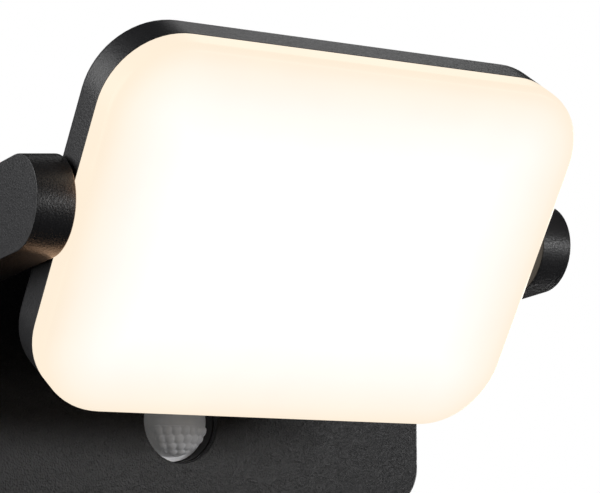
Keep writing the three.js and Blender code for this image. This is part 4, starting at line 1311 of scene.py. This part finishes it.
# ---- Studio and camera ------------------------------------------------------------------------------
# Pale paper, lit from below like a light table, lies under the lamp. Soft lights stand at the front, at
# both sides and behind, and a narrow warm one repeats the panel's glow. The camera is at the lower left.

WHITE = (1.0, 1.0, 1.0)
FLOOR_Z = -1.6
FLOOR_SIZE = 6.0
FLOOR_THICK = 0.01
PAPER_GLOW = 0.7
SKY_LOW = (0.006, 0.006, 0.006)
SKY_HIGH = (0.012, 0.012, 0.0125)
LIGHTS = {
    "front": {"way": (0.42, -0.90, 0.04), "power": 4.8, "size": 0.42},
    "front_right": {"way": (0.72, -0.69, 0.05), "power": 3.2, "size": 0.28},
    "low_front_right": {"way": (0.60, -0.75, -0.25), "power": 0.4, "size": 0.28},
    "left": {"way": (-0.84, 0.36, 0.38), "power": 16.0, "size": 1.3},
    "low_left": {"way": (-0.85, 0.40, -0.20), "power": 1.6, "size": 0.6},
    "above_behind": {"way": (0.50, 0.50, 0.70), "power": 0.9, "size": 0.6},
    "right_behind": {"way": (0.90, 0.40, -0.10), "power": 12.0, "size": 0.9},
}
LIGHT_DISTANCE = 1.5
GLOW_STRIP = {
    "power": 0.0042, "width": 0.011, "length": 0.08, "drop": 0.02, "gap": 0.0002,
    "color": (1.0, 0.48, 0.20),
}
CAMERA_AT = (-0.4765, -0.8629, -0.0916)
CAMERA_FORWARD = (0.51142, 0.85115, 0.11830)
CAMERA_LENS = 143.62
CAMERA_SENSOR = 36.0
CAMERA_SHIFT = (0.1167, 0.0725)

floor = skin("floor", [
    [(sign_x * size, sign_y * size, z) for sign_x, sign_y in ((1, 1), (-1, 1), (-1, -1), (1, -1))]
    for size, z in ((FLOOR_SIZE, FLOOR_Z), (FLOOR_SIZE, FLOOR_Z - FLOOR_THICK))
])
paper = Finish("pale_paper", (0.86, 0.86, 0.86), 0.9)
paper.set("Roughness", paper.noise(40.0) * 0.1 + 0.85)
paper.set("Emission Color", (1.0, 1.0, 1.0, 1.0))
paper.set("Emission Strength", PAPER_GLOW)
floor.data.materials.append(paper.material)
floor.visible_diffuse = False
floor.visible_glossy = False

world = bpy.data.worlds.new("studio")
world.use_nodes = True
bpy.context.scene.world = world
sky = world.node_tree
direction = add(sky, "ShaderNodeTexCoord", out="Generated")
up = add(sky, "ShaderNodeSeparateXYZ", {}, {0: direction}, out=2)
shade = add(sky, "ShaderNodeMix", {"data_type": "RGBA"}, {
    0: (up * 0.5 + 0.5) ** 1.4, 6: (*SKY_LOW, 1.0), 7: (*SKY_HIGH, 1.0),
}, out=2)
seen = add(sky, "ShaderNodeLightPath", out="Is Camera Ray")
light = add(sky, "ShaderNodeMix", {"data_type": "RGBA"}, {0: seen, 6: shade, 7: (*WHITE, 1.0)}, out=2)
sky.links.new(light.socket, sky.nodes["Background"].inputs["Color"])

for name, light in LIGHTS.items():
    lamp = bpy.data.lights.new(name, "AREA")
    lamp.shape = "DISK"
    lamp.size = light["size"]
    lamp.energy = light["power"]
    stand = as_object(name, lamp)
    way = Vector(light["way"]).normalized()
    stand.location = tilt_axis + way * LIGHT_DISTANCE
    stand.rotation_euler = way.to_track_quat("Z", "Y").to_euler()

lamp = bpy.data.lights.new("left_edge_glow", "AREA")
lamp.shape = "RECTANGLE"
lamp.size = GLOW_STRIP["width"]
lamp.size_y = GLOW_STRIP["length"]
lamp.energy = GLOW_STRIP["power"]
lamp.color = GLOW_STRIP["color"]
strip = as_object("left_edge_glow", lamp)
strip.visible_camera = False
beside = -head_size[0] / 2 - GLOW_STRIP["gap"]
spot = (beside, (HEAD_FRONT + HEAD_SEAM) / 2, -GLOW_STRIP["drop"])
leftward = Matrix(((0, 0, 1), (-1, 0, 0), (0, -1, 0))).to_4x4()
strip.matrix_world = head_place @ Matrix.Translation(spot) @ leftward

optics = bpy.data.cameras.new("camera")
optics.sensor_width = CAMERA_SENSOR
optics.lens = CAMERA_LENS
optics.shift_x, optics.shift_y = CAMERA_SHIFT
camera = as_object("camera", optics)
camera.location = CAMERA_AT
camera.rotation_euler = Vector(CAMERA_FORWARD).to_track_quat("-Z", "Y").to_euler()
bpy.context.scene.camera = camera
bpy.context.scene.view_settings.view_transform = "Standard"
